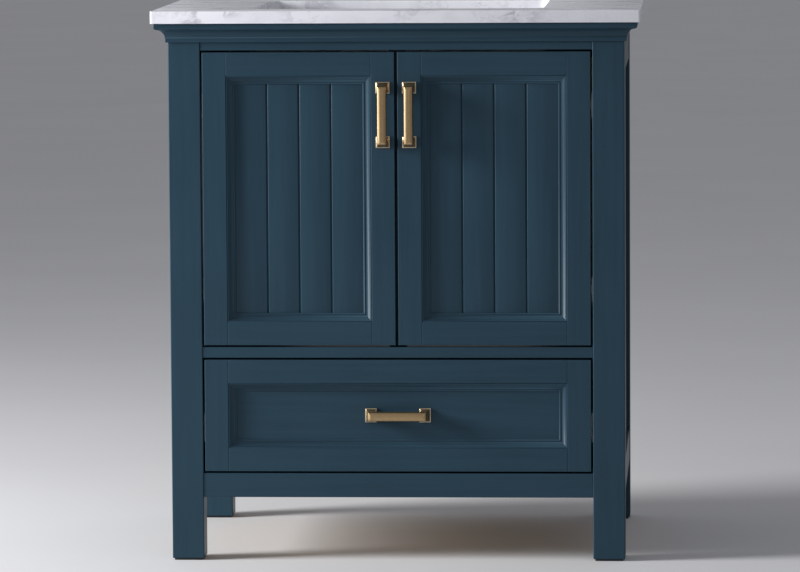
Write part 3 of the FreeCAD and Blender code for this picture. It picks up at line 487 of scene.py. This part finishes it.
def marble_finish(stone):
    """Polished white marble with soft grey clouds and fine broken veins."""
    finish = Finish("polished_marble", Specular_IOR_Level=0.3)
    ground = tuple(stone.colour)
    vein = tuple(stone.vein)
    drift = finish.node("ShaderNodeMapping", Vector=finish.place,
                        Rotation=(0.3, 0.2, 0.62), Scale=(1.0, 1.9, 1.4))
    warp = finish.node("ShaderNodeTexNoise", out=1, Vector=drift,
                       Scale=3.2, Detail=4.0, Roughness=0.6)
    bend = 0.34
    bent = finish.node("ShaderNodeVectorMath", {"operation": "MULTIPLY_ADD"},
                       _0=warp, _1=(bend, bend, bend), _2=drift)
    broad = finish.noise(5.0, 5.0, 0.62, bent)
    fine = finish.noise(13.0, 6.0, 0.66, bent)
    patch = finish.noise(7.5, 3.0, 0.5, drift)
    cloud = finish.noise(9.0, 5.0, 0.6, bent)
    wide_line = 1.0 - finish.step((broad - 0.5).away(), 0.0, 0.045)
    wide_vein = wide_line * finish.step(patch, 0.42, 0.62)
    thin_line = 1.0 - finish.step((fine - 0.5).away(), 0.0, 0.022)
    thin_vein = thin_line * finish.step(patch, 0.38, 0.70)
    soft = finish.step(cloud, 0.44, 0.74)
    misty = finish.between(soft * 0.42, ground, (0.50, 0.50, 0.56))
    lined = finish.between((wide_vein * 0.62).held(), misty, vein)
    final = finish.between((thin_vein * 0.34).held(), lined, tint(vein, 0.9))
    gloss = 0.24 + soft * 0.08
    finish.surface(Base_Color=final, Roughness=gloss,
                   Normal=finish.relief(finish.noise(60.0, 2.0), 0.00003, 0.4))
    return finish.material


def ceramic_finish():
    """White glaze, very slightly wavy."""
    finish = Finish("white_glaze", Specular_IOR_Level=0.6, Coat_Weight=0.6, Coat_Roughness=0.04)
    tone = finish.noise(6.0, 3.0)
    finish.surface(Base_Color=finish.between(tone, (0.86, 0.87, 0.875), (0.93, 0.935, 0.94)),
                   Roughness=0.09 + finish.noise(35.0, 2.0) * 0.05,
                   Normal=finish.relief(finish.noise(45.0, 1.0), 0.00012, 0.5))
    return finish.material


def brass_finish(name, colour, way, rough):
    """Brushed antique brass, its brush marks running one way."""
    finish = Finish(name, Metallic=1.0)
    marks = finish.noise(1.0, 4.0, 0.6, finish.stretched(way), 0.2)
    age = finish.noise(140.0, 4.0, 0.6)
    patina = finish.step(age, 0.45, 0.75)
    bright = finish.between(marks, tint(colour, 0.80), tint(colour, 1.25))
    final = finish.between(patina * 0.35, bright, tint(colour, 0.52))
    gloss = rough + (marks - 0.5) * 0.16 + patina * 0.10
    finish.surface(Base_Color=final, Roughness=gloss.held(),
                   Normal=finish.relief(marks, 0.00003, 0.6))
    return finish.material


def steel_finish():
    """Zinc-plated steel with its faint spangle."""
    finish = Finish("zinc_plate", Metallic=1.0)
    spangle = finish.node("ShaderNodeTexVoronoi", out=1, Vector=finish.place, Scale=420.0)
    grey = finish.node("ShaderNodeRGBToBW", Color=spangle)
    rub = finish.noise(60.0, 4.0, 0.6)
    finish.surface(Base_Color=finish.between(grey, (0.50, 0.51, 0.52), (0.63, 0.64, 0.65)),
                   Roughness=0.27 + grey * 0.08 + rub * 0.12,
                   Normal=finish.relief(rub, 0.00002, 0.5))
    return finish.material


def birch_finish():
    """Clear-coated birch with long soft figure."""
    finish = Finish("clear_birch", Specular_IOR_Level=0.4, Coat_Weight=0.2, Coat_Roughness=0.25)
    long_way = finish.stretched((26, 2.2, 26))
    figure = finish.node("ShaderNodeTexWave", {"wave_type": "BANDS", "bands_direction": "DIAGONAL"},
                         Vector=long_way, Scale=0.55, Distortion=7.0, Detail=3.0, Detail_Scale=1.2)
    fibre = finish.noise(1.0, 5.0, 0.65, finish.stretched((520, 9, 520)))
    ground = finish.between(figure, (0.56, 0.40, 0.245), (0.68, 0.515, 0.335))
    final = finish.between(finish.step(fibre, 0.5, 0.8) * 0.35, ground, (0.42, 0.28, 0.15))
    finish.surface(Base_Color=final, Roughness=0.42 + (fibre - 0.5) * 0.15,
                   Normal=finish.relief(fibre, 0.00008, 0.6))
    return finish.material


def rubber_finish(name, colour, rough):
    """Moulded plastic with a fine skin."""
    finish = Finish(name, Specular_IOR_Level=0.4)
    skin = finish.noise(1500.0, 2.0)
    tone = finish.noise(30.0, 2.0)
    finish.surface(Base_Color=finish.between(tone, tint(colour, 0.8), tint(colour, 1.15)),
                   Roughness=rough + (skin - 0.5) * 0.1, Normal=finish.relief(skin, 0.00005, 0.5))
    return finish.material


FINISHES = {}


def make_finishes(settings):
    """Every finish of the cabinet, by name."""
    for way in GRAINS:
        FINISHES[way] = paint_finish(settings.paint, way)
    brass = tuple(settings.pull.colour)
    FINISHES.update(
        marble=marble_finish(settings.stone),
        ceramic=ceramic_finish(),
        brass_upright=brass_finish("brushed_brass_upright", brass, (900, 900, 14), 0.36),
        brass_level=brass_finish("brushed_brass_level", brass, (14, 900, 900), 0.36),
        # Paler, brighter brass for the rims of the pull base plates: a painted highlight.
        brass_edge=brass_finish("brass_rim_painted_highlight", (0.60, 0.51, 0.38), (300, 300, 300), 0.30),
        steel=steel_finish(),
        birch=birch_finish(),
        pad=rubber_finish("black_pad", (0.022, 0.022, 0.024), 0.6),
    )


# ---- pieces

def mark_faces(piece, test, index):
    """Give the faces that pass the test the piece's finish of this number."""
    for face in piece.data.polygons:
        if test(face):
            face.material_index = index


def open_ring(piece, start, facing, depth):
    """Open the middle of a grown face right through, back to where it started."""
    extrude(facing * -depth)
    bpy.ops.mesh.delete(type="FACE")
    pick(piece, lambda face: ((middle(face) - start).length < TOUCH
                              and face.normal.dot(facing) < -SQUARE_TO))
    bpy.ops.mesh.delete(type="ONLY_FACE")
    bpy.ops.mesh.select_mode(type="EDGE")
    bpy.ops.mesh.select_all(action="DESELECT")
    bpy.ops.mesh.select_non_manifold()
    bpy.ops.mesh.bridge_edge_loops()
    tidy_mesh()


def moulding_profile(sizes, width, height):
    """Outer bead, quirk, wide sloping cove and inner bead: (inward, forward) points."""
    crest = sizes.bead * 0.4
    bead_foot = height - sizes.bead * 0.62
    shoulder = bead_foot - 0.6 * MM
    cove_start = sizes.bead + sizes.quirk * 0.6
    inner_bead = 3.0 * MM
    cove_end = width - inner_bead - 0.4 * MM
    floor = 1.7 * MM
    inner_crest = 2.5 * MM
    sag = 0.12
    reach = cove_end - cove_start
    drop = shoulder - floor
    points = [(0.0, height - 0.9 * MM), (0.2 * MM, height - 0.35 * MM),
              (crest * 0.6, height - 0.08 * MM), (crest, height)]
    for turn in (24, 46, 68, 90):
        points.append((crest + (sizes.bead - crest) * sine(turn),
                       height - (height - bead_foot) * fall(turn)))
    points += [(sizes.bead + 0.1 * MM, shoulder), (cove_start, shoulder)]
    for part in (0.14, 0.30, 0.46, 0.62, 0.80, 1.0):
        points.append((cove_start + reach * part,
                       shoulder - drop * (part + sag * math.sin(math.pi * part))))
    points += [(width - inner_bead, floor),
               (width - inner_bead + 0.1 * MM, inner_crest - 0.3 * MM),
               (width - inner_bead + 0.5 * MM, inner_crest),
               (width - 1.7 * MM, inner_crest - 0.25 * MM),
               (width - 0.8 * MM, inner_crest - 0.8 * MM),
               (width, inner_crest - 1.6 * MM)]
    return points


class VANITY_OT_mouldings(bpy.types.Operator):
    """Model the mitred inner mouldings of the doors and the drawer front"""
    bl_idname = "vanity.mouldings"
    bl_label = "Inner mouldings"

    def execute(self, context):
        sizes = context.scene.vanity.moulding
        for node, body in (
            ("left_door_moulding", "left_door"),
            ("drawer_front_moulding", "drawer"),
        ):
            low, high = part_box(node)
            back = high.y
            near = Vector((low.x, back, low.z))
            far = Vector((high.x, back, high.z))
            piece = lay_face(f"{node}_shaped", near, far, FRONT)
            profile = moulding_profile(sizes, MOULDING_WIDTH, back - low.y)
            extrude(FRONT * profile[0][1])
            grow(profile, FRONT)
            open_ring(piece, (near + far) / 2, FRONT, profile[-1][1])
            put_down()
            level = lambda face: (abs(face.normal.x) < 0.01
                                  and abs(face.center.x - (low.x + high.x) / 2) < 20 * MM)
            finish_piece(piece, body, [FINISHES["upright"], FINISHES["level"]],
                         [node], ease=0.15 * MM)
            mark_faces(piece, level, 1)
            if body == "left_door":
                twin = mirrored(piece, "right_door_moulding_shaped")
                finish_piece(twin, "right_door", [], ["right_door_moulding"])
        return {"FINISHED"}


class VANITY_OT_panels(bpy.types.Operator):
    """Model the beadboard panels of the doors"""
    bl_idname = "vanity.panels"
    bl_label = "Beadboard panels"

    def execute(self, context):
        sizes = context.scene.vanity.moulding
        low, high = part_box("left_door_panel")
        piece = lay_block("left_door_panel_planked", low, high)
        frame_low, frame_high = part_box("left_door_moulding")
        inner_low = frame_low.x + MOULDING_WIDTH
        inner_high = frame_high.x - MOULDING_WIDTH
        half = sizes.groove / 2
        grooves = [inner_low + (inner_high - inner_low) * count / 4 for count in (1, 2, 3)]
        for groove in grooves:
            for across in (-half, 0.0, half):
                cut_plane((groove + across, 0, 0), (1, 0, 0), drop_outer=False)
        on_groove = lambda edge: (
            upright(edge) and abs(middle(edge).y - low.y) < TOUCH
            and min(abs(middle(edge).x - groove) for groove in grooves) < TOUCH)
        pick(piece, on_groove, "edges")
        bpy.ops.transform.translate(value=(0, sizes.groove_depth, 0))
        finish_piece(piece, "left_door", [FINISHES["upright"]], ["left_door_panel"],
                     ease=0.55 * MM, segments=3, angle=25, smooth=40)
        twin = mirrored(piece, "right_door_panel_planked")
        finish_piece(twin, "right_door", [], ["right_door_panel"], smooth=40)
        return {"FINISHED"}


class VANITY_OT_crown(bpy.types.Operator):
    """Model the crown moulding, cut into its front length and two side returns"""
    bl_idname = "vanity.crown"
    bl_label = "Crown moulding"

    def execute(self, context):
        low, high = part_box("crown_front")
        leg_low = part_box("front_left_leg")[0]
        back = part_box("crown_left")[1].y
        reach = leg_low.x - low.x
        top = high.z
        height = top - low.z
        soft_top = 2.0 * MM
        spare = 60 * MM
        near = Vector((low.x, low.y, top - soft_top))
        far = Vector((high.x, back + spare, top - soft_top))
        ring = lay_face("crown_ring", near, far, DOWN)
        bead = 9.0 * MM - soft_top
        quirk = 2.5 * MM
        foot = reach - 3.5 * MM
        cove = 13.4 * MM
        cove_top = bead + 1.0 * MM
        cove_foot = cove_top + cove
        cove_reach = foot - 0.6 * MM - quirk
        profile = [(0.0, bead - 1.2 * MM), (0.35 * MM, bead - 0.35 * MM), (1.2 * MM, bead),
                   (quirk - 0.1 * MM, bead), (quirk, cove_top)]
        for turn in (14, 28, 42, 56, 70, 82):
            profile.append((quirk + cove_reach * sine(turn), cove_top + cove * fall(turn)))
        profile += [(foot - 0.45 * MM, cove_foot), (foot - 0.1 * MM, cove_foot + 0.2 * MM),
                    (foot, cove_foot + 0.9 * MM)]
        extrude(DOWN * profile[0][1])
        grow(profile, DOWN)
        extrude(DOWN * (height - soft_top - profile[-1][1]))
        bpy.ops.mesh.inset(thickness=reach - foot, depth=0, use_even_offset=True)
        bpy.ops.mesh.delete(type="FACE")
        pick(ring, lambda face: ((middle(face) - (near + far) / 2).length < TOUCH * 10
                                 and face.normal.z > SQUARE_TO))
        grow([(0.0, 0.0), (0.25 * MM, 1.0 * MM), (0.8 * MM, 1.7 * MM),
              (1.8 * MM, soft_top), (reach, soft_top)], UP)
        extrude(DOWN * height)
        bpy.ops.mesh.delete(type="FACE")
        tidy_mesh()
        cut_plane((0, back, 0), (0, 1, 0))
        put_down()
        corner_left = Vector((leg_low.x, leg_low.y, 0))
        corner_right = Vector((-leg_low.x, leg_low.y, 0))
        for name, cuts in (
            ("crown_front", ((corner_left, (-1, 1, 0)), (corner_right, (1, 1, 0)))),
            ("crown_left", ((corner_left, (1, -1, 0)), (Vector(), (1, 0, 0)))),
            ("crown_right", ((corner_right, (-1, -1, 0)), (Vector(), (-1, 0, 0)))),
        ):
            length = copy_of(ring, f"{name}_run")
            bpy.ops.object.mode_set(mode="EDIT")
            for point, normal in cuts:
                cut_plane(point, normal)
            tidy_mesh()
            way = "level" if name == "crown_front" else "deep"
            finish_piece(length, "cabinet", [FINISHES[way]], [name],
                         ease=0.2 * MM)
        bpy.data.objects.remove(ring)
        return {"FINISHED"}


class VANITY_OT_countertop(bpy.types.Operator):
    """Model the marble slab with its eased edges, basin opening and faucet holes"""
    bl_idname = "vanity.countertop"
    bl_label = "Countertop"

    def execute(self, context):
        stone = context.scene.vanity.stone
        low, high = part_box("countertop")
        slab = lay_block("countertop_slab", low, high)
        pick(slab, upright, "edges")
        bpy.ops.mesh.bevel(offset=3 * MM, segments=5, affect="EDGES")
        put_down()
        room = 20 * MM
        opening_corner = 20 * MM
        rim_low, rim_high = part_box("basin")
        rim_cover = Vector((28 * MM, 28 * MM, 0))
        opening_low = rim_low + rim_cover
        opening_low.z = low.z - room
        opening_high = rim_high - rim_cover
        opening_high.z = high.z + room
        opening = lay_block("slab_opening", opening_low, opening_high)
        pick(opening, upright, "edges")
        bpy.ops.mesh.bevel(offset=opening_corner, segments=12, affect="EDGES")
        put_down()
        cutters = [opening]
        for mount in frame["record"]["mounts"]:
            if mount["name"].startswith("faucet"):
                hole = lay_round(mount["name"] + "_hole", Vector(mount["pos_m"]),
                                 mount["dims"]["r_mm"] * MM, high.z - low.z + 2 * room, sides=48)
                put_down()
                cutters.append(hole)
        for cutter in cutters:
            combine(slab, cutter)
        finish_piece(slab, "cabinet", [FINISHES["marble"]], ["countertop"],
                     ease=stone.ease, segments=4, angle=50, smooth=40)
        return {"FINISHED"}


class VANITY_OT_pulls(bpy.types.Operator):
    """Model one brass pull by extruding its posts from the bar, and copy it"""
    bl_idname = "vanity.pulls"
    bl_label = "Pulls"

    def execute(self, context):
        sizes = context.scene.vanity.pull
        low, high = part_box("left_door_pull")
        centre = (low + high) / 2
        bar_half = Vector((sizes.bar_width / 2, sizes.bar_thick / 2, sizes.bar_length / 2))
        bar_middle = Vector((centre.x, low.y + bar_half.y, centre.z))
        pull = lay_block("left_door_pull_cast", bar_middle - bar_half, bar_middle + bar_half)
        bar_back = low.y + sizes.bar_thick
        plate_front = high.y - sizes.plate
        post = 12 * MM
        for side in (-1, 1):
            cut_plane((0, 0, centre.z + side * (bar_half.z - post)), (0, 0, 1), drop_outer=False)
        for side in (-1, 1):
            base_middle = centre.z + side * ((high.z - low.z) / 2 - sizes.base_length / 2)
            seat_middle = centre.z + side * (bar_half.z - post / 2)
            pick(pull, lambda face: (face.normal.y > SQUARE_TO
                                     and abs(middle(face).z - seat_middle) < TOUCH * 10))
            extrude((0, plate_front - sizes.flare - bar_back, base_middle - seat_middle))
            extrude((0, sizes.flare, 0))
            pivot = (centre.x, plate_front, base_middle)
            lean_x = (high.x - low.x - 2 * sizes.rim) / sizes.bar_width
            lean_z = (sizes.base_length - 2 * sizes.rim) / post
            bpy.ops.transform.resize(value=(lean_x, 1, lean_z), center_override=pivot)
            extrude((0, 0, 0))
            wide_x = (high.x - low.x) / (high.x - low.x - 2 * sizes.rim)
            wide_z = sizes.base_length / (sizes.base_length - 2 * sizes.rim)
            bpy.ops.transform.resize(value=(wide_x, 1, wide_z), center_override=pivot)
            extrude((0, sizes.plate, 0))
        long_front = lambda edge: middle(edge).y < low.y + TOUCH and (
            upright(edge) and abs(abs(middle(edge).x - centre.x) - bar_half.x) < TOUCH
            or abs(abs(middle(edge).z - centre.z) - bar_half.z) < TOUCH)
        pick(pull, long_front, "edges")
        bpy.ops.mesh.bevel(offset=sizes.facet, segments=2, profile=0.5, affect="EDGES")
        tidy_mesh()
        put_down()
        finish_piece(pull, "left_door",
                     [FINISHES["brass_upright"], FINISHES["brass_edge"]],
                     ["left_door_pull"], ease=0.35 * MM, segments=2, angle=14, smooth=24)
        # The rims of the base plates take the paler brass, a painted highlight along them.
        rim = lambda face: (face.center.y > plate_front - 0.4 * MM and face.normal.y < 0.2
                            and face.area < 40 * MM * MM and face.center.y < plate_front + 0.5 * MM)
        mark_faces(pull, rim, 1)
        twin = mirrored(pull, "right_door_pull_cast")
        finish_piece(twin, "right_door", [], ["right_door_pull"], smooth=24)
        drawer_low, drawer_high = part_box("drawer_pull")
        level = copy_of(pull, "drawer_pull_cast")
        bpy.ops.object.mode_set(mode="EDIT")
        bpy.ops.mesh.select_all(action="SELECT")
        bpy.ops.transform.rotate(value=math.pi / 2, orient_axis="Y", center_override=tuple(centre))
        bpy.ops.transform.translate(value=(drawer_low + drawer_high) / 2 - centre)
        put_down()
        level.data.materials[0] = FINISHES["brass_level"]
        finish_piece(level, "drawer", [], ["drawer_pull"], smooth=24)
        return {"FINISHED"}


def tapered_tub(name, low, high, corner, stages):
    """A round-cornered block carried on downward in rings of (drop, shrink)."""
    tub = lay_block(name, low, high)
    pick(tub, upright, "edges")
    bpy.ops.mesh.bevel(offset=corner, segments=8, affect="EDGES")
    pivot = (low + high) / 2
    half = (high - low) / 2
    for drop, shrink in stages:
        pick(tub, lambda face: face.normal.z < -SQUARE_TO)
        extrude(DOWN * drop)
        wide = (half.x - shrink) / half.x
        deep = (half.y - shrink) / half.y
        half = Vector((half.x - shrink, half.y - shrink, half.z))
        bpy.ops.transform.resize(value=(wide, deep, 1), center_override=pivot)
    put_down()
    return tub


def bowl_stages(deep, taper, rounded):
    """Rings of a bowl that tapers to a floor rounded at its foot."""
    straight = deep - rounded
    slope = taper * straight / deep
    stages = [(straight, slope)]
    last = 0
    for turn in (18, 36, 54, 72, 90):
        stages.append((rounded * (sine(turn) - sine(last)), rounded * (fall(turn) - fall(last))))
        last = turn
    return stages


class VANITY_OT_basin(bpy.types.Operator):
    """Model the ceramic basin as a rounded bowl with a flat rim"""
    bl_idname = "vanity.basin"
    bl_label = "Basin"

    def execute(self, context):
        low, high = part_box("basin")
        rim_thick = 12 * MM
        wall = 10 * MM
        ledge = 25 * MM
        bowl_corner = 20 * MM
        taper = 22 * MM
        rounded = 18 * MM
        deep = high.z - low.z - wall
        seam = 1 * MM
        step_in = Vector((ledge - wall, ledge - wall, 0))
        rim = lay_block("basin_bowl", Vector((low.x, low.y, high.z - rim_thick)), high)
        pick(rim, upright, "edges")
        bpy.ops.mesh.bevel(offset=ledge, segments=8, affect="EDGES")
        put_down()
        near = low + step_in
        near.z = high.z - rim_thick - seam
        far = high - step_in
        far.z = high.z - rim_thick / 2
        stages = bowl_stages(near.z - low.z, taper, rounded)
        tub = tapered_tub("basin_tub", near, far, bowl_corner, stages)
        combine(rim, tub, "UNION")
        inset = Vector((ledge, ledge, 0))
        near = low + inset
        near.z = high.z
        far = high - inset
        far.z = high.z + wall
        stages = bowl_stages(deep, taper, rounded)
        hollow = tapered_tub("basin_hollow", near, far, bowl_corner, stages)
        combine(rim, hollow)
        drain = next(mount for mount in frame["record"]["mounts"] if mount["name"] == "drain")
        hole_deep = 60 * MM
        hole = lay_round("drain_hole", Vector(drain["pos_m"]),
                         drain["dims"]["r_mm"] * MM, hole_deep, sides=64)
        combine(rim, hole)
        finish_piece(rim, "cabinet", [FINISHES["ceramic"]], ["basin"],
                     ease=1.5 * MM, segments=3, angle=40, smooth=45)
        return {"FINISHED"}


NODE_FINISHES = {
    "upright": ("front_left_leg", "front_right_leg", "back_left_leg", "back_right_leg",
                "left_side_panel", "right_side_panel", "left_door_outer_stile",
                "left_door_inner_stile", "right_door_outer_stile",
                "right_door_inner_stile", "drawer_front_stiles", "left_door_panel",
                "right_door_panel", "door_stop_post"),
    "level": ("front_top_rail", "front_middle_rail", "front_apron_rail", "back_rails",
              "left_door_top_rail", "left_door_bottom_rail",
              "right_door_top_rail", "right_door_bottom_rail",
              "drawer_front_rails", "drawer_front_panel", "cabinet_deck", "crown_front",
              "left_door_moulding", "right_door_moulding", "drawer_front_moulding"),
    "deep": ("left_side_rails", "right_side_rails", "crown_left", "crown_right"),
    "marble": ("countertop",),
    "ceramic": ("basin",),
    "brass_upright": ("left_door_pull", "right_door_pull"),
    "brass_level": ("drawer_pull",),
    "pad": ("foot_pads",),
}


class VANITY_OT_finishes(bpy.types.Operator):
    """Give every piece of the frame its finish"""
    bl_idname = "vanity.finishes"
    bl_label = "Finishes"

    def execute(self, context):
        make_finishes(context.scene.vanity)
        chosen = {node: finish for finish, nodes in NODE_FINISHES.items() for node in nodes}
        by_slot = {"plain_wood": "birch", "steel": "steel", "painted_wood": "upright"}
        for name, node in frame["nodes"].items():
            for row in node.material_slots:
                slot = row.material.name.split(".")[0]
                row.material = FINISHES[chosen.get(name) or by_slot[slot]]
        return {"FINISHED"}


class VANITY_OT_stage(bpy.types.Operator):
    """Lay the floor, place the lights and aim the camera"""
    bl_idname = "vanity.stage"
    bl_label = "Stage"

    def execute(self, context):
        light = context.scene.vanity.light
        put_down()
        bpy.ops.mesh.primitive_plane_add(size=120, location=(0, 0, 0))
        floor = context.object
        floor.name = "studio_floor"
        ground = Finish("studio_floor", Roughness=0.7, Specular_IOR_Level=0.25)
        tone = ground.noise(1.5, 3.0)
        ground.surface(Base_Color=ground.between(tone, (0.60, 0.60, 0.61), (0.66, 0.66, 0.67)))
        floor.data.materials.append(ground.material)
        aim = Vector((0, -0.2, 0.5))
        for name, place, size, power in (
            ("key_light", (-3.6, -1.0, 1.4), 1.4, light.key),
            ("fill_light", (1.5, -5.0, 2.2), 2.5, light.fill),
        ):
            bpy.ops.object.light_add(type="AREA", location=place)
            lamp = context.object
            lamp.name = name
            lamp.data.shape = "DISK"
            lamp.data.size = size
            lamp.data.energy = power
            lamp.rotation_euler = (aim - Vector(place)).to_track_quat("-Z", "Y").to_euler()
        world = bpy.data.worlds.new("studio")
        context.scene.world = world
        world.use_nodes = True
        sky = world.node_tree.nodes["Background"]
        sky.inputs["Color"].default_value = (0.86, 0.87, 0.92, 1)
        sky.inputs["Strength"].default_value = light.sky
        bpy.ops.object.camera_add(location=(0.490, -8.253, 1.181))
        camera = context.object
        camera.name = "studio_camera"
        camera.data.lens = 231.8
        camera.data.sensor_width = 36
        pitch, yaw, roll = (math.radians(turn) for turn in (90 - 5.33, 3.47, -0.34))
        facing = Euler((pitch, 0, yaw)).to_matrix()
        camera.rotation_euler = (facing @ Matrix.Rotation(roll, 3, "Z")).to_euler()
        context.scene.camera = camera
        context.scene.view_settings.view_transform = "Standard"
        return {"FINISHED"}


class VANITY_PT_cabinet(bpy.types.Panel):
    """The cabinet's settings and its makers"""
    bl_idname = "VANITY_PT_cabinet"
    bl_label = "Painted Vanity"
    bl_space_type = "VIEW_3D"
    bl_region_type = "UI"
    bl_category = "Vanity"

    def draw(self, context):
        settings = context.scene.vanity
        for title, group in (
            ("Paint", settings.paint), ("Mouldings", settings.moulding),
            ("Pulls", settings.pull), ("Marble", settings.stone), ("Light", settings.light),
        ):
            box = self.layout.box()
            box.label(text=title)
            for key in group.__annotations__:
                box.prop(group, key)
        for operator in MAKERS:
            self.layout.operator(operator.bl_idname)


MAKERS = (
    VANITY_OT_finishes,
    VANITY_OT_crown,
    VANITY_OT_mouldings,
    VANITY_OT_panels,
    VANITY_OT_countertop,
    VANITY_OT_basin,
    VANITY_OT_pulls,
    VANITY_OT_stage,
)
CLASSES = (VanityPaint, VanityMoulding, VanityPull, VanityStone, VanityLight, VanitySettings,
           *MAKERS, VANITY_PT_cabinet)


def register():
    """Register the classes and hang the settings on the scene."""
    for kind in CLASSES:
        bpy.utils.register_class(kind)
    bpy.types.Scene.vanity = PointerProperty(type=VanitySettings)


def unregister():
    """Take the settings and the classes away again."""
    del bpy.types.Scene.vanity
    for kind in reversed(CLASSES):
        bpy.utils.unregister_class(kind)


def main():
    """Make every piece in order."""
    register()
    bpy.ops.vanity.finishes()
    bpy.ops.vanity.crown()
    bpy.ops.vanity.mouldings()
    bpy.ops.vanity.panels()
    bpy.ops.vanity.countertop()
    bpy.ops.vanity.basin()
    bpy.ops.vanity.pulls()
    bpy.ops.vanity.stage()


if __name__ == "__main__":
    main()
